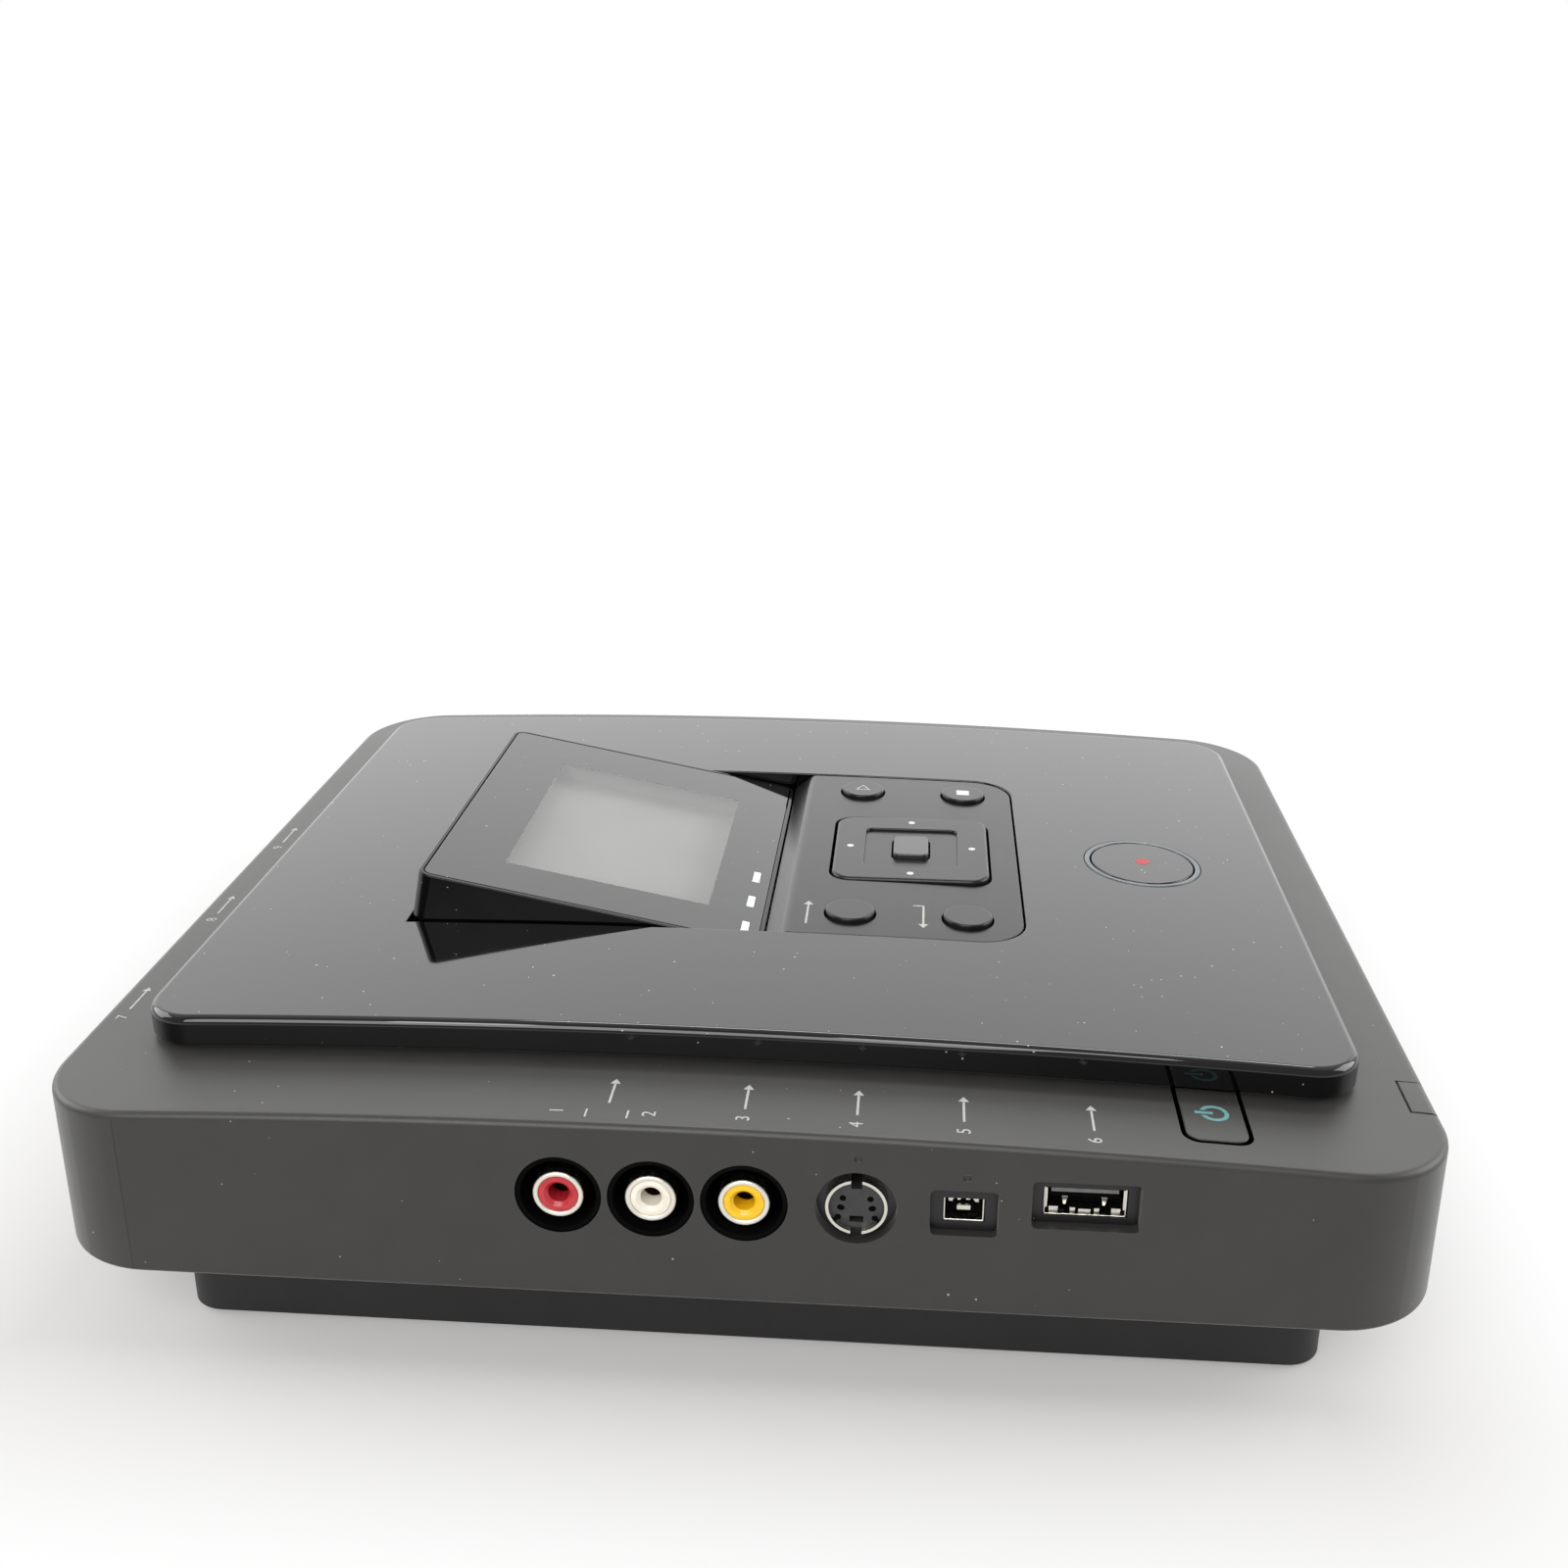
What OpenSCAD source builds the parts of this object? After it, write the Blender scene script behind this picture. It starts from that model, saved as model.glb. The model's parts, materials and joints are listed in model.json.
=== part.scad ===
// Desktop disc recorder: a low box with a tilted display and keys on its gloss lid, input sockets
// on its left side and a disc tray in its front.
// Millimetres. +Z is up, the front (disc tray) faces -Y, the left side (inputs) faces -X.
// The origin is on the table, under the middle of the case.

/* [Case] */
// Width of the case, left to right
case_w = 207; // [203:1:225]
// Depth of the case, front to back
case_d = 232; // [230:1:250]
// Height of the case wall under the highest point of the crowned top
case_h = 32.1; // [31.5:0.1:38]
// Plan radius of the case corners
case_corner_r = 18; // [14:1:22]
// Wall thickness of the upper case
case_wall = 2.4; // [2:0.1:2.8]
// Radius of the long front-to-back crown of the top
crown_r = 2000; // [1800:50:4000]
// Distance of the crown's highest line behind the middle
crown_back = 15; // [0:1:25]

/* [Base] */
// Height that the rubber feet stand below the plinth
foot_h = 0.8; // [0.5:0.1:3]
// Diameter of the rubber feet
foot_d = 12; // [8:1:18]
// Height of the plinth under the case
plinth_h = 17.8; // [17:0.1:22]
// Distance from the case side to the plinth side
plinth_inset = 14; // [12:0.5:14.5]
// Distance from the case front to the plinth front
plinth_front_inset = 15.2; // [14:0.2:15.6]
// Distance from the case back to the plinth back
plinth_back_inset = 17.6; // [14:0.2:18]
// Plan radius of the plinth corners
plinth_corner_r = 6.5; // [5:0.5:12]
// Wall thickness of the bottom cover
base_wall = 2.4; // [1.8:0.1:2.8]
// Diameter of the case screw threads
screw_d = 3; // [2.5:0.1:4]

/* [Lid] */
// Height of the lid's top above the case top
lid_h = 6.2; // [5.8:0.1:8]
// Height of the shadow gap under the lid
lid_gap = 0.9; // [0.5:0.1:1.4]
// Thickness of the lid's top and of the rims under it
lid_wall = 2.2; // [1.8:0.1:2.6]
// Plan radius of the lid corners
lid_corner_r = 9.5; // [5:0.5:11]
// Strip of case top left beside the lid, on the left and right
lid_side_margin = 21; // [18:0.5:22]
// Strip of case top left at the front and back of the lid
lid_end_margin = 11.8; // [8:0.2:13]

/* [Control panel] */
// Width of the lid's opening for the panel and display
opening_w = 86; // [86:0.5:92]
// Distance of the opening's front edge in front of the middle
opening_front = 50.5; // [49:0.5:54]
// Distance of the opening's rear edge behind the middle
opening_back = 67.2; // [67.2:0.1:72]
// Radius of the opening's front corners
opening_r = 9; // [6:0.5:12]
// How far the panel lies below the lid's surface
panel_drop = 0.2; // [0.2:0.1:0.8]
// Thickness of the panel
panel_t = 2; // [1.6:0.1:2.4]
// Distance in front of the middle where the panel slopes down to the display
slope_front = 4.9; // [4:0.1:6.5]
// Depth of the control board's underside below the case top
control_board_drop = 4.7; // [4.2:0.1:5.7]
// Diameter of the round buttons
button_d = 9.4; // [8:0.1:10.5]
// Sideways distance of the round buttons from the middle line
button_x = 33; // [30:0.5:36]
// Distance of the pad's middle in front of the middle of the case
pad_front = 28.2; // [26:0.1:29]
// Front-to-back distance between two rows of round buttons
button_rows = 22.6; // [20:0.2:24]
// How far the round buttons stand above the panel
button_proud = 0.9; // [0.7:0.1:1.5]
// Width of the direction pad
pad_w = 33.5; // [30:0.5:36]
// Depth of the direction pad, front to back
pad_d = 32; // [30:0.5:34]
// Width of the enter key
enter_w = 10.2; // [8:0.2:12]
// Depth of the enter key
enter_d = 7.3; // [6:0.1:9]
// Travel of every pressed key
key_travel = 0.7; // [0.4:0.05:0.8]
// Free play around every key in its hole
key_play = 0.3; // [0.2:0.05:0.45]

/* [Record button] */
// Distance of the record button in front of the middle
record_front = 76.2; // [74:0.2:79]
// Outer diameter of the light ring
ring_d = 23.8; // [22:0.2:27]
// Width of the light ring
ring_w = 1.1; // [0.8:0.1:2]

/* [Edge keys] */
// Distance of the power key in front of the middle
power_front = 78; // [76:0.5:82]
// Width of the power key, front to back
power_w = 10.8; // [9:0.2:13]
// Strip of case top left outside the power key
power_margin = 6.2; // [4.5:0.1:7]
// Distance of the eject key's middle outside the tray front
eject_out = 2.8; // [2.7:0.1:3.4]
// Width of the eject key
eject_w = 9.8; // [8:0.2:10]
// Depth of the eject key on the top
eject_d = 4.6; // [3.8:0.1:4.6]

/* [Display] */
// Width of the display housing
display_w = 83.6; // [80:0.2:84]
// Length of the display housing along its slope
display_l = 66.9; // [60:0.1:66.9]
// Thickness of the display housing
display_t = 9.5; // [8.5:0.1:9.8]
// Tilt of the display
display_tilt = 10.9; // [10:0.1:12]
// Height of the display's front edge above the case top
display_rise = 2.7; // [2.3:0.1:3.8]
// Width of the visible picture
picture_w = 57; // [50:0.5:60]
// Height of the visible picture along the slope
picture_l = 40.7; // [36:0.1:42]
// Distance from the display's front edge to the picture
picture_front = 11.8; // [11:0.1:13]
// Wall of the display housing
display_wall = 1.6; // [1.2:0.1:2.2]

/* [Left sockets] */
// Distance of the socket row below the case top
jack_drop = 13.2; // [12.7:0.1:14.2]
// Distance of the red socket behind the middle
rca_back = 26.6; // [22:0.1:30]
// Spacing of the three phono sockets
rca_pitch = 15; // [14.2:0.1:15.4]
// Outer diameter of the phono socket shells
rca_d = 8.3; // [8:0.1:8.6]
// Diameter of the wells around the phono sockets
rca_well_d = 14; // [13:0.1:14]
// Depth of the wells around the phono sockets
rca_well = 9.3; // [8:0.1:11]
// Distance of the round video socket in front of the middle
svideo_front = 21.3; // [20.5:0.1:22]
// Outer diameter of the round video socket's ring
svideo_d = 9.9; // [9.5:0.1:10.4]
// Distance of the small digital socket in front of the middle
dv_front = 38.3; // [37:0.1:39]
// Distance of the large digital socket in front of the middle
usb_front = 57.3; // [56:0.1:58]
// Height of the large digital socket above the socket row
usb_up = 1.8; // [0:0.1:2]

/* [Rear and right sockets] */
// Height of the rear sockets above the table
rear_jack_z = 33; // [32.5:0.1:35]
// Distance of the power inlet left of the middle
inlet_left = 65; // [55:0.5:70]
// Distance of the audio-video jack left of the middle
av_left = 23.5; // [15:0.5:35]
// Distance of the digital output right of the middle
hdmi_right = 15.5; // [8:0.5:30]
// Distance of the card reader's middle behind the front
card_in = 67; // [64:0.5:70]

/* [Disc drive] */
// Diameter of the disc recess in the tray
disc_recess_d = 121.6; // [121:0.2:123]
// Width of the tray between its side runners
tray_w = 132; // [130:1:134]
// Length of the tray behind its front
tray_l = 158; // [150:1:159]
// Travel of the tray
tray_travel = 125; // [110:1:126]
// Height of the underside of the tray's floor
tray_z = 25.2; // [25:0.1:25.6]
// Thickness of the tray's floor
tray_floor = 2.3; // [2:0.1:2.6]
// Depth of the disc recess
recess_h = 4.5; // [4.4:0.1:5]
// Width of the tray front
tray_front_w = 149; // [147:0.5:150]
// Height of the tray front
tray_front_h = 15; // [14:0.2:15.4]
// Distance of the spindle behind the front
spindle_in = 69; // [68:0.5:70]
// Width of the drive
drive_w = 146; // [145:0.5:148]
// Length of the drive
drive_l = 161; // [159:1:163]
// Angle through which the lifting frame rises
lift_angle = 5; // [4.8:0.1:5.2]
// Travel of the laser sled
sled_travel = 34; // [30:0.5:35]
// Number of teeth of the tray gear
tray_teeth = 28; // [28:2:30]
// Number of teeth of the pinion on the belt pulley
pinion_teeth = 18; // [18:2:20]

/* [Hidden] */
$fn = 96;

// Small overlap that lets a cut pass clean through a face
eps = 0.5;
// Clearance between fixed pieces that fit inside each other
fit = 0.3;
// Radial clearance of a shaft in its bearing
bearing_play = 0.06;
// Clearance between a moving piece and what it slides past
slide_play = 0.25;
// Thickness of every circuit board
board_t = 1.2;
// Height of a tact switch
switch_h = 1.6;
// Gap between a key's flange and the panel above it
flange_gap = 0.3;
// Gap between a key's stem and its switch, which must outlast the travel
stem_gap = key_travel + 0.15;

case_z = foot_h + plinth_h;
case_top = case_z + case_h;
left_face = -case_w / 2;
right_face = case_w / 2;
front_face = -case_d / 2;
back_face = case_d / 2;
lid_w = case_w - 2 * lid_side_margin;
lid_d = case_d - 2 * lid_end_margin;
lid_seat = 1.4;
roof_w = opening_w + 4.4;
base_floor = foot_h + base_wall;
flange_top = case_z + base_wall;
control_board_z = case_top - control_board_drop;
switch_top = control_board_z + board_t + switch_h;
display_z = case_top + display_rise;
jack_z = case_top - jack_drop;
post_x = right_face - 8.2;
post_front = front_face + 16;
post_back = back_face - 31;
post_r = 3.5;
chassis_front = front_face + plinth_front_inset + base_wall + 1.4;
chassis_back = chassis_front + drive_l;

// Height of a crowned surface at depth y, rise above the case top
function crown_z(y, rise) =
    case_top - crown_r + sqrt(pow(crown_r + rise, 2) - pow(y - crown_back, 2));

// The space under a crowned surface
module crown(rise) {
    translate([0, crown_back, case_top - crown_r])
        rotate([0, 90, 0])
            cylinder(r = crown_r + rise, h = 2 * case_w, center = true, $fn = 720);
}

// A plan extruded from height z up to a crowned surface
module crowned(z, rise) {
    intersection() {
        translate([0, 0, z]) linear_extrude(case_top + lid_h + 10 - z) children();
        crown(rise);
    }
}

// A plan as a crowned slab between two rises
module crown_slab(low, high) {
    difference() {
        crowned(case_z, high) children();
        crown(low);
    }
}

module rounded_plan(w, d, r) {
    square([w - 2 * r, d], center = true);
    square([w, d - 2 * r], center = true);
    for (x = [-1, 1], y = [-1, 1]) translate([x * (w / 2 - r), y * (d / 2 - r)]) circle(r);
}

// A plan with two round corners at its front end
module front_rounded_plan(w, front, back, r) {
    translate([-w / 2, front + r]) square([w, back - front - r]);
    translate([-w / 2 + r, front]) square([w - 2 * r, back - front]);
    for (x = [-1, 1]) translate([x * (w / 2 - r), front + r]) circle(r);
}

// A box given by its low and high corners
module block(low, high) {
    translate(low) cube(high - low);
}

// A round bar along X from x0 to x1
module bar_x(r, x0, x1, y, z) {
    translate([x0, y, z]) rotate([0, 90, 0]) cylinder(r = r, h = x1 - x0);
}

// A round bar along Y from y0 to y1
module bar_y(r, y0, y1, x, z) {
    translate([x, y0, z]) rotate([-90, 0, 0]) cylinder(r = r, h = y1 - y0);
}

// A round bar along Z from z0 to z1
module bar_z(r, z0, z1, x, y) {
    translate([x, y, z0]) cylinder(r = r, h = z1 - z0);
}

// A box beam along X with a given Y and Z size, centred on a socket's axis
module beam_x(x0, x1, y, z, w, h) {
    translate([x0, y - w / 2, z - h / 2]) cube([x1 - x0, w, h]);
}

// A box beam along Y with a given X and Z size, centred on a socket's axis
module beam_y(y0, y1, x, z, w, h) {
    translate([x - w / 2, y0, z - h / 2]) cube([w, y1 - y0, h]);
}

// Case

power_x = left_face + power_margin;
power_l = lid_side_margin - power_margin + 1.5;
tray_front_low = tray_z - 2.8;
tray_front_mid = tray_front_low + tray_front_h / 2;
tray_gap_top = tray_front_low + tray_front_h + 2 * slide_play;
eject_x = -tray_front_w / 2 - eject_out;
eject_share = 0.635;
eject_low = crown_z(front_face, 0) - eject_share * (crown_z(front_face, 0) - tray_gap_top);
card_z = 33;
card_slot_w = 43.5;
card_slot_h = 3.8;
small_slot_w = 25;
small_slot_h = 3;
card_gap = 38;

module screw_posts(z0, r) {
    for (x = [-1, 1], y = [post_front, post_back]) translate([x * post_x, y, z0]) cylinder(r = r, h = case_h);
}

// Plan of the power key's face: round at its outer end, running in under the lid
module power_plan(grow) {
    translate([power_x - grow, -power_front]) rotate(-90)
        front_rounded_plan(power_w + 2 * grow, 0, power_l + 2 * grow, 2.5 + grow);
}

module eject_plan(grow) {
    translate([eject_x - eject_w / 2 - grow, front_face - eps])
        square([eject_w + 2 * grow, eject_d + grow + eps]);
}

// A straight pocket in the left wall, with a mouth for a socket's shell in its floor
module pocket(y, z, w, h, mouth_z, mouth_w, mouth_h) {
    beam_x(left_face - eps, left_face + pocket_depth, y, z, w, h);
    beam_x(left_face, left_face + pocket_depth + 2 * pocket_wall, y, mouth_z, mouth_w, mouth_h);
}

module upper_case() {
    color("#4a4845") difference() {
        union() {
            difference() {
                union() {
                    crowned(case_z, 0) rounded_plan(case_w, case_d, case_corner_r);
                    crowned(case_z, lid_gap)
                        rounded_plan(lid_w - 2 * lid_seat, lid_d - 2 * lid_seat, lid_corner_r);
                }
                crowned(case_z - eps, -case_wall)
                    rounded_plan(case_w - 2 * case_wall, case_d - 2 * case_wall, case_corner_r - case_wall);
            }
            intersection() {
                screw_posts(flange_top, post_r);
                crown(-case_wall / 2);
            }
            beam_x(left_face + case_wall / 2, left_face + pocket_depth + pocket_wall, -dv_front, jack_z,
                dv_pocket_w + 2 * pocket_wall, dv_pocket_h + 2 * pocket_wall);
            beam_x(left_face + case_wall / 2, left_face + pocket_depth + pocket_wall, -usb_front,
                usb_pocket_z, usb_pocket_w + 2 * pocket_wall, usb_pocket_h + 2 * pocket_wall);
        }
        for (x = [-1, 1], y = [post_front, post_back])
            bar_z(screw_d / 2, flange_top - eps, case_z + screw_l + 1, x * post_x, y);
        block([-roof_w / 2, -record_front - 20, case_top - 12],
            [roof_w / 2, opening_back + 2.4, case_top + lid_h]);
        crown_slab(-3 * case_wall, lid_h) power_plan(key_play);
        crowned(eject_low - key_travel - key_play, lid_h) eject_plan(key_play);
        beam_y(front_face - eps, front_face + 2 * case_wall, 0, tray_front_mid,
            tray_front_w + 4 * slide_play, tray_front_h + 4 * slide_play);
        for (i = [0:2])
            bar_x(rca_well_d / 2, left_face - eps, left_face + 2 * case_wall, rca_back - i * rca_pitch, jack_z);
        bar_x(svideo_d / 2 + 1.5, left_face - eps, left_face + 2 * case_wall, -svideo_front, jack_z);
        pocket(-dv_front, jack_z, dv_pocket_w, dv_pocket_h, dv_z, dv_w + 2 * socket_gap,
            dv_h + 2 * socket_gap);
        pocket(-usb_front, usb_pocket_z, usb_pocket_w, usb_pocket_h, usb_z, usb_w + 2 * socket_gap,
            usb_h + 2 * socket_gap);
        bar_y(inlet_r, back_face - 2 * case_wall, back_face + eps, -inlet_left, rear_jack_z);
        bar_y(av_r + fit, back_face - 2 * case_wall, back_face + eps, -av_left, rear_jack_z);
        beam_y(back_face - 2 * case_wall, back_face + eps, hdmi_right, rear_jack_z, hdmi_w + 1.6, hdmi_h + 1.6);
        beam_x(right_face - 2 * case_wall, right_face + eps, card_back_slot_y, card_z,
            small_slot_w + 1, small_slot_h + 1);
        beam_x(right_face - 2 * case_wall, right_face + eps, card_front_slot_y, card_z,
            card_slot_w + 1, card_slot_h + 1);
    }
}

foot_x = case_w / 2 - plinth_inset - 12;
foot_y = case_d / 2 - plinth_back_inset - 8.4;
foot_sunk = 0.8;

// Plan of the plinth, with its ends drawn in further than its sides
module plinth_plan(inset) {
    translate([0, (plinth_front_inset - plinth_back_inset) / 2])
        rounded_plan(case_w - 2 * (plinth_inset + inset),
            case_d - plinth_front_inset - plinth_back_inset - 2 * inset, plinth_corner_r - inset);
}

module bottom_cover() {
    color("#2f2e2f") difference() {
        union() {
            difference() {
                union() {
                    translate([0, 0, case_z]) linear_extrude(base_wall)
                        rounded_plan(case_w - 2 * case_wall - 2 * fit, case_d - 2 * case_wall - 2 * fit,
                            case_corner_r - case_wall - fit);
                    translate([0, 0, foot_h]) linear_extrude(plinth_h + base_wall) plinth_plan(0);
                }
                translate([0, 0, base_floor]) linear_extrude(plinth_h + 2 * base_wall)
                    plinth_plan(base_wall);
            }
            for (x = [-1, 1], y = drive_seats)
                bar_z(4, base_floor - eps, chassis_z, x * (drive_w / 2 - 8), y);
            for (y = input_posts) bar_z(3, flange_top - eps, input_board_z, input_post_x, y);
            for (x = main_posts) {
                bar_z(3, flange_top - eps, main_board_z, x, main_board_back - 4);
                bar_z(3, base_floor - eps, main_board_z, x, main_board_front + 4);
            }
            for (y = [card_back_slot_y, card_front_slot_y])
                bar_z(3, flange_top - eps, card_low, card_post_x, y);
        }
        for (x = [-1, 1], y = [-1, 1])
            bar_z(foot_d / 2, 0, foot_h + foot_sunk, x * foot_x, y * foot_y);
        screw_posts(case_z - eps, screw_d / 2 + 0.2);
        for (x = [-1, 1], y = [post_front, post_back])
            bar_z(screw_head_r + 0.2, case_z - eps, case_z + screw_head_h + 0.1, x * post_x, y);
    }
}

module rubber_feet() {
    color("#1c1c1c") for (x = [-1, 1], y = [-1, 1])
        bar_z(foot_d / 2, 0, foot_h + foot_sunk, x * foot_x, y * foot_y);
}

screw_head_r = 2.7;
screw_head_h = 1.3;
screw_l = 14;

module case_screws() {
    color("#555555") for (x = [-1, 1], y = [post_front, post_back]) difference() {
        union() {
            bar_z(screw_head_r, case_z + 0.1, case_z + 0.1 + screw_head_h, x * post_x, y);
            bar_z(screw_d / 2, case_z + 0.1, case_z + screw_l, x * post_x, y);
        }
        for (turn = [0, 90]) translate([x * post_x, y, case_z]) rotate(turn)
            translate([-1.7, -0.35, -eps]) cube([3.4, 0.7, eps + 0.8]);
    }
}

// Lid, panel and keys

lid_roof = lid_h - lid_wall;
ring_r = ring_d / 2;
record_y = -record_front;
ring_flange = 1.3;

module opening_plan(grow) {
    front_rounded_plan(opening_w + 2 * grow, -opening_front - grow, opening_back + grow, opening_r + grow);
}

module top_lid() {
    color("#101010") difference() {
        union() {
            crown_slab(lid_roof, lid_h) rounded_plan(lid_w, lid_d, lid_corner_r);
            crown_slab(lid_gap, lid_h) difference() {
                rounded_plan(lid_w, lid_d, lid_corner_r);
                rounded_plan(lid_w - 3 * lid_wall, lid_d - 3 * lid_wall, lid_corner_r - 1.5 * lid_wall);
            }
            crown_slab(lid_gap, lid_h) opening_plan(lid_wall);
            intersection() {
                for (x = [-1, 1])
                    bar_z(2.5, control_board_z + board_t, case_top + lid_h, x * 20, board_front + 4);
                crown(lid_roof + lid_wall / 2);
            }
        }
        translate([0, 0, case_z]) linear_extrude(2 * case_h) opening_plan(0);
        bar_z(ring_r + 0.1, case_top - 8, case_top + lid_h + 5, 0, record_y);
    }
}

panel_rise = lid_h - panel_drop;
panel_w = opening_w - 2 * fit;
panel_front = -opening_front + fit;
panel_back = -slope_front;
panel_under = panel_rise - panel_t;
slope_back = -1;
panel_lip = 1.6;

module panel_plan(grow) {
    front_rounded_plan(panel_w + 2 * grow, panel_front - grow, panel_back, opening_r - fit + grow);
}

button_front_y = -pad_front - button_rows / 2;
button_back_y = -pad_front + button_rows / 2;
button_r = button_d / 2;

module control_panel() {
    color("#2b2b2c") difference() {
        union() {
            crown_slab(panel_under, panel_rise) panel_plan(0);
            crown_slab(-1.2, panel_rise) difference() {
                panel_plan(0);
                panel_plan(-panel_t);
            }
            crown_slab(-1.2, lid_gap) difference() {
                panel_plan(panel_lip);
                panel_plan(-panel_t);
            }
            translate([-panel_w / 2, 0, 0]) rotate([90, 0, 90]) linear_extrude(panel_w) polygon([
                [panel_back, crown_z(panel_back, panel_rise)],
                [slope_back, display_z],
                [slope_back, display_z - panel_t],
                [panel_back, crown_z(panel_back, panel_under)]
            ]);
            for (x = [-1, 1], y = [panel_front + 5, panel_back - 5])
                intersection() {
                    bar_z(2.4, control_board_z + board_t, case_top + lid_h, x * (panel_w / 2 - 3.4), y);
                    crown(panel_under + panel_t / 2);
                }
        }
        for (x = [-1, 1], y = [button_front_y, button_back_y])
            bar_z(button_r + key_play, control_board_z, case_top + lid_h, x * button_x, y);
        translate([0, -pad_front, control_board_z]) linear_extrude(case_h)
            rounded_plan(pad_w + 2 * key_play + 0.3, pad_d + 2 * key_play + 0.3, 4.3);
    }
}

// A round push button through the panel, with a flange under it and a stem over its switch
module round_button(x, y) {
    crowned_top = panel_rise + button_proud;
    crown_slab(panel_under - 1.2, crowned_top) translate([x, y]) circle(button_r);
    crown_slab(panel_under - 1.2, panel_under - flange_gap) translate([x, y]) circle(button_r + 1.1);
    bar_z(1.6, switch_top + stem_gap, crown_z(y, panel_under) - 0.6, x, y);
}

module play_button() {
    color("#1d1d1e") round_button(button_x, button_back_y);
}

module stop_button() {
    color("#1d1d1e") round_button(button_x, button_front_y);
}

module output_button() {
    color("#1d1d1e") round_button(-button_x, button_back_y);
}

module return_button() {
    color("#1d1d1e") round_button(-button_x, button_front_y);
}

pad_proud = 0.6;
pad_t = 2.6;
pad_well_w = 20.3;
pad_well_d = 19.2;
pad_well_h = 0.6;
pad_top = crown_z(-pad_front, panel_rise) + pad_proud;
gimbal_z = pad_top - pad_t - 2.2;
gimbal_r = 8.5;
gimbal_w = 1.6;
gimbal_t = 1.8;
pivot_r = 0.7;
pivot_reach = 2;
pad_switch = 13.4;
enter_proud = 0.5;

// The ring between the pad and the board, with two pins for each
module pad_gimbal() {
    color("#e3e3df") translate([0, -pad_front, gimbal_z]) {
        difference() {
            translate([0, 0, -gimbal_t / 2]) cylinder(r = gimbal_r, h = gimbal_t);
            translate([0, 0, -gimbal_t]) cylinder(r = gimbal_r - gimbal_w, h = 2 * gimbal_t);
        }
        for (turn = [0, 90, 180, 270]) rotate(turn)
            bar_x(pivot_r, gimbal_r - gimbal_w / 2, gimbal_r + pivot_reach, 0, 0);
    }
}

module direction_pad() {
    lug_x = gimbal_r + 0.4;
    color("#242425") translate([0, -pad_front, 0]) difference() {
        union() {
            difference() {
                translate([0, 0, pad_top - pad_t]) linear_extrude(pad_t) rounded_plan(pad_w, pad_d, 4);
                translate([0, 0, pad_top - pad_well_h]) linear_extrude(pad_t)
                    rounded_plan(pad_well_w, pad_well_d, 1.5);
            }
            for (s = [-1, 1])
                translate([s * (lug_x + 0.8) - 0.8, -1.6, gimbal_z - 1.4])
                    cube([1.6, 3.2, pad_top - pad_t - gimbal_z + 1.9]);
            for (turn = [0, 90, 180, 270]) rotate(turn)
                bar_z(1.2, switch_top + 0.95, pad_top - pad_t + 0.5, pad_switch, 0);
        }
        translate([0, 0, pad_top - 2 * pad_t]) linear_extrude(3 * pad_t)
            rounded_plan(enter_w + 2 * key_play + 0.2, enter_d + 2 * key_play + 0.2, 1.6);
        bar_x(pivot_r + bearing_play, -pad_w, pad_w, 0, gimbal_z);
    }
}

module enter_key() {
    color("#1d1d1e") translate([0, -pad_front, 0]) {
        translate([0, 0, pad_top - pad_t - 0.8]) linear_extrude(pad_t + 0.8 + enter_proud)
            rounded_plan(enter_w, enter_d, 1.3);
        bar_z(enter_w / 2 + 1.1, pad_top - pad_t - 1.1, pad_top - pad_t - 0.5, 0, 0);
        bar_z(2, switch_top + stem_gap, pad_top - pad_t, 0, 0);
    }
}

module record_ring() {
    color("#aeb9c0") difference() {
        union() {
            crown_slab(lid_roof - ring_flange, lid_h + 0.1) translate([0, record_y]) circle(ring_r);
            crown_slab(lid_roof - ring_flange, lid_roof) translate([0, record_y]) circle(ring_r + 1.4);
        }
        bar_z(ring_r - ring_w, case_top - 10, case_top + lid_h + 5, 0, record_y);
    }
}

module record_button() {
    record_r = ring_r - ring_w - key_play;
    flange_rise = lid_roof - ring_flange;
    color("#101010") {
        crown_slab(flange_rise - 1.2, lid_h + 0.1) translate([0, record_y]) circle(record_r);
        crown_slab(flange_rise - 1.2, flange_rise - flange_gap) translate([0, record_y]) circle(ring_r);
        bar_z(2.5, switch_top + stem_gap, crown_z(record_y, flange_rise - 0.6), 0, record_y);
    }
}

power_stem_x = power_x + 7;

module power_key() {
    color("#232324") {
        crown_slab(-case_wall - 1.4, 0.15) power_plan(0);
        crown_slab(-case_wall - 1.4, -case_wall - flange_gap) power_plan(1.1);
        bar_z(2, input_board_z + board_t + switch_h + stem_gap, crown_z(-power_front, -case_wall - 0.8),
            power_stem_x, -power_front);
    }
}

eject_stem_y = front_face + eject_d + 1.6;
eject_flange_front = front_face + case_wall + slide_play;
eject_flange_back = eject_flange_front + eject_d + 1;

// A side view of the eject key, drawn as depth and height, made as wide as asked
module side_profile(w, points) {
    translate([eject_x - w / 2, 0, 0]) rotate([90, 0, 90]) linear_extrude(w) polygon(points);
}

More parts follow.
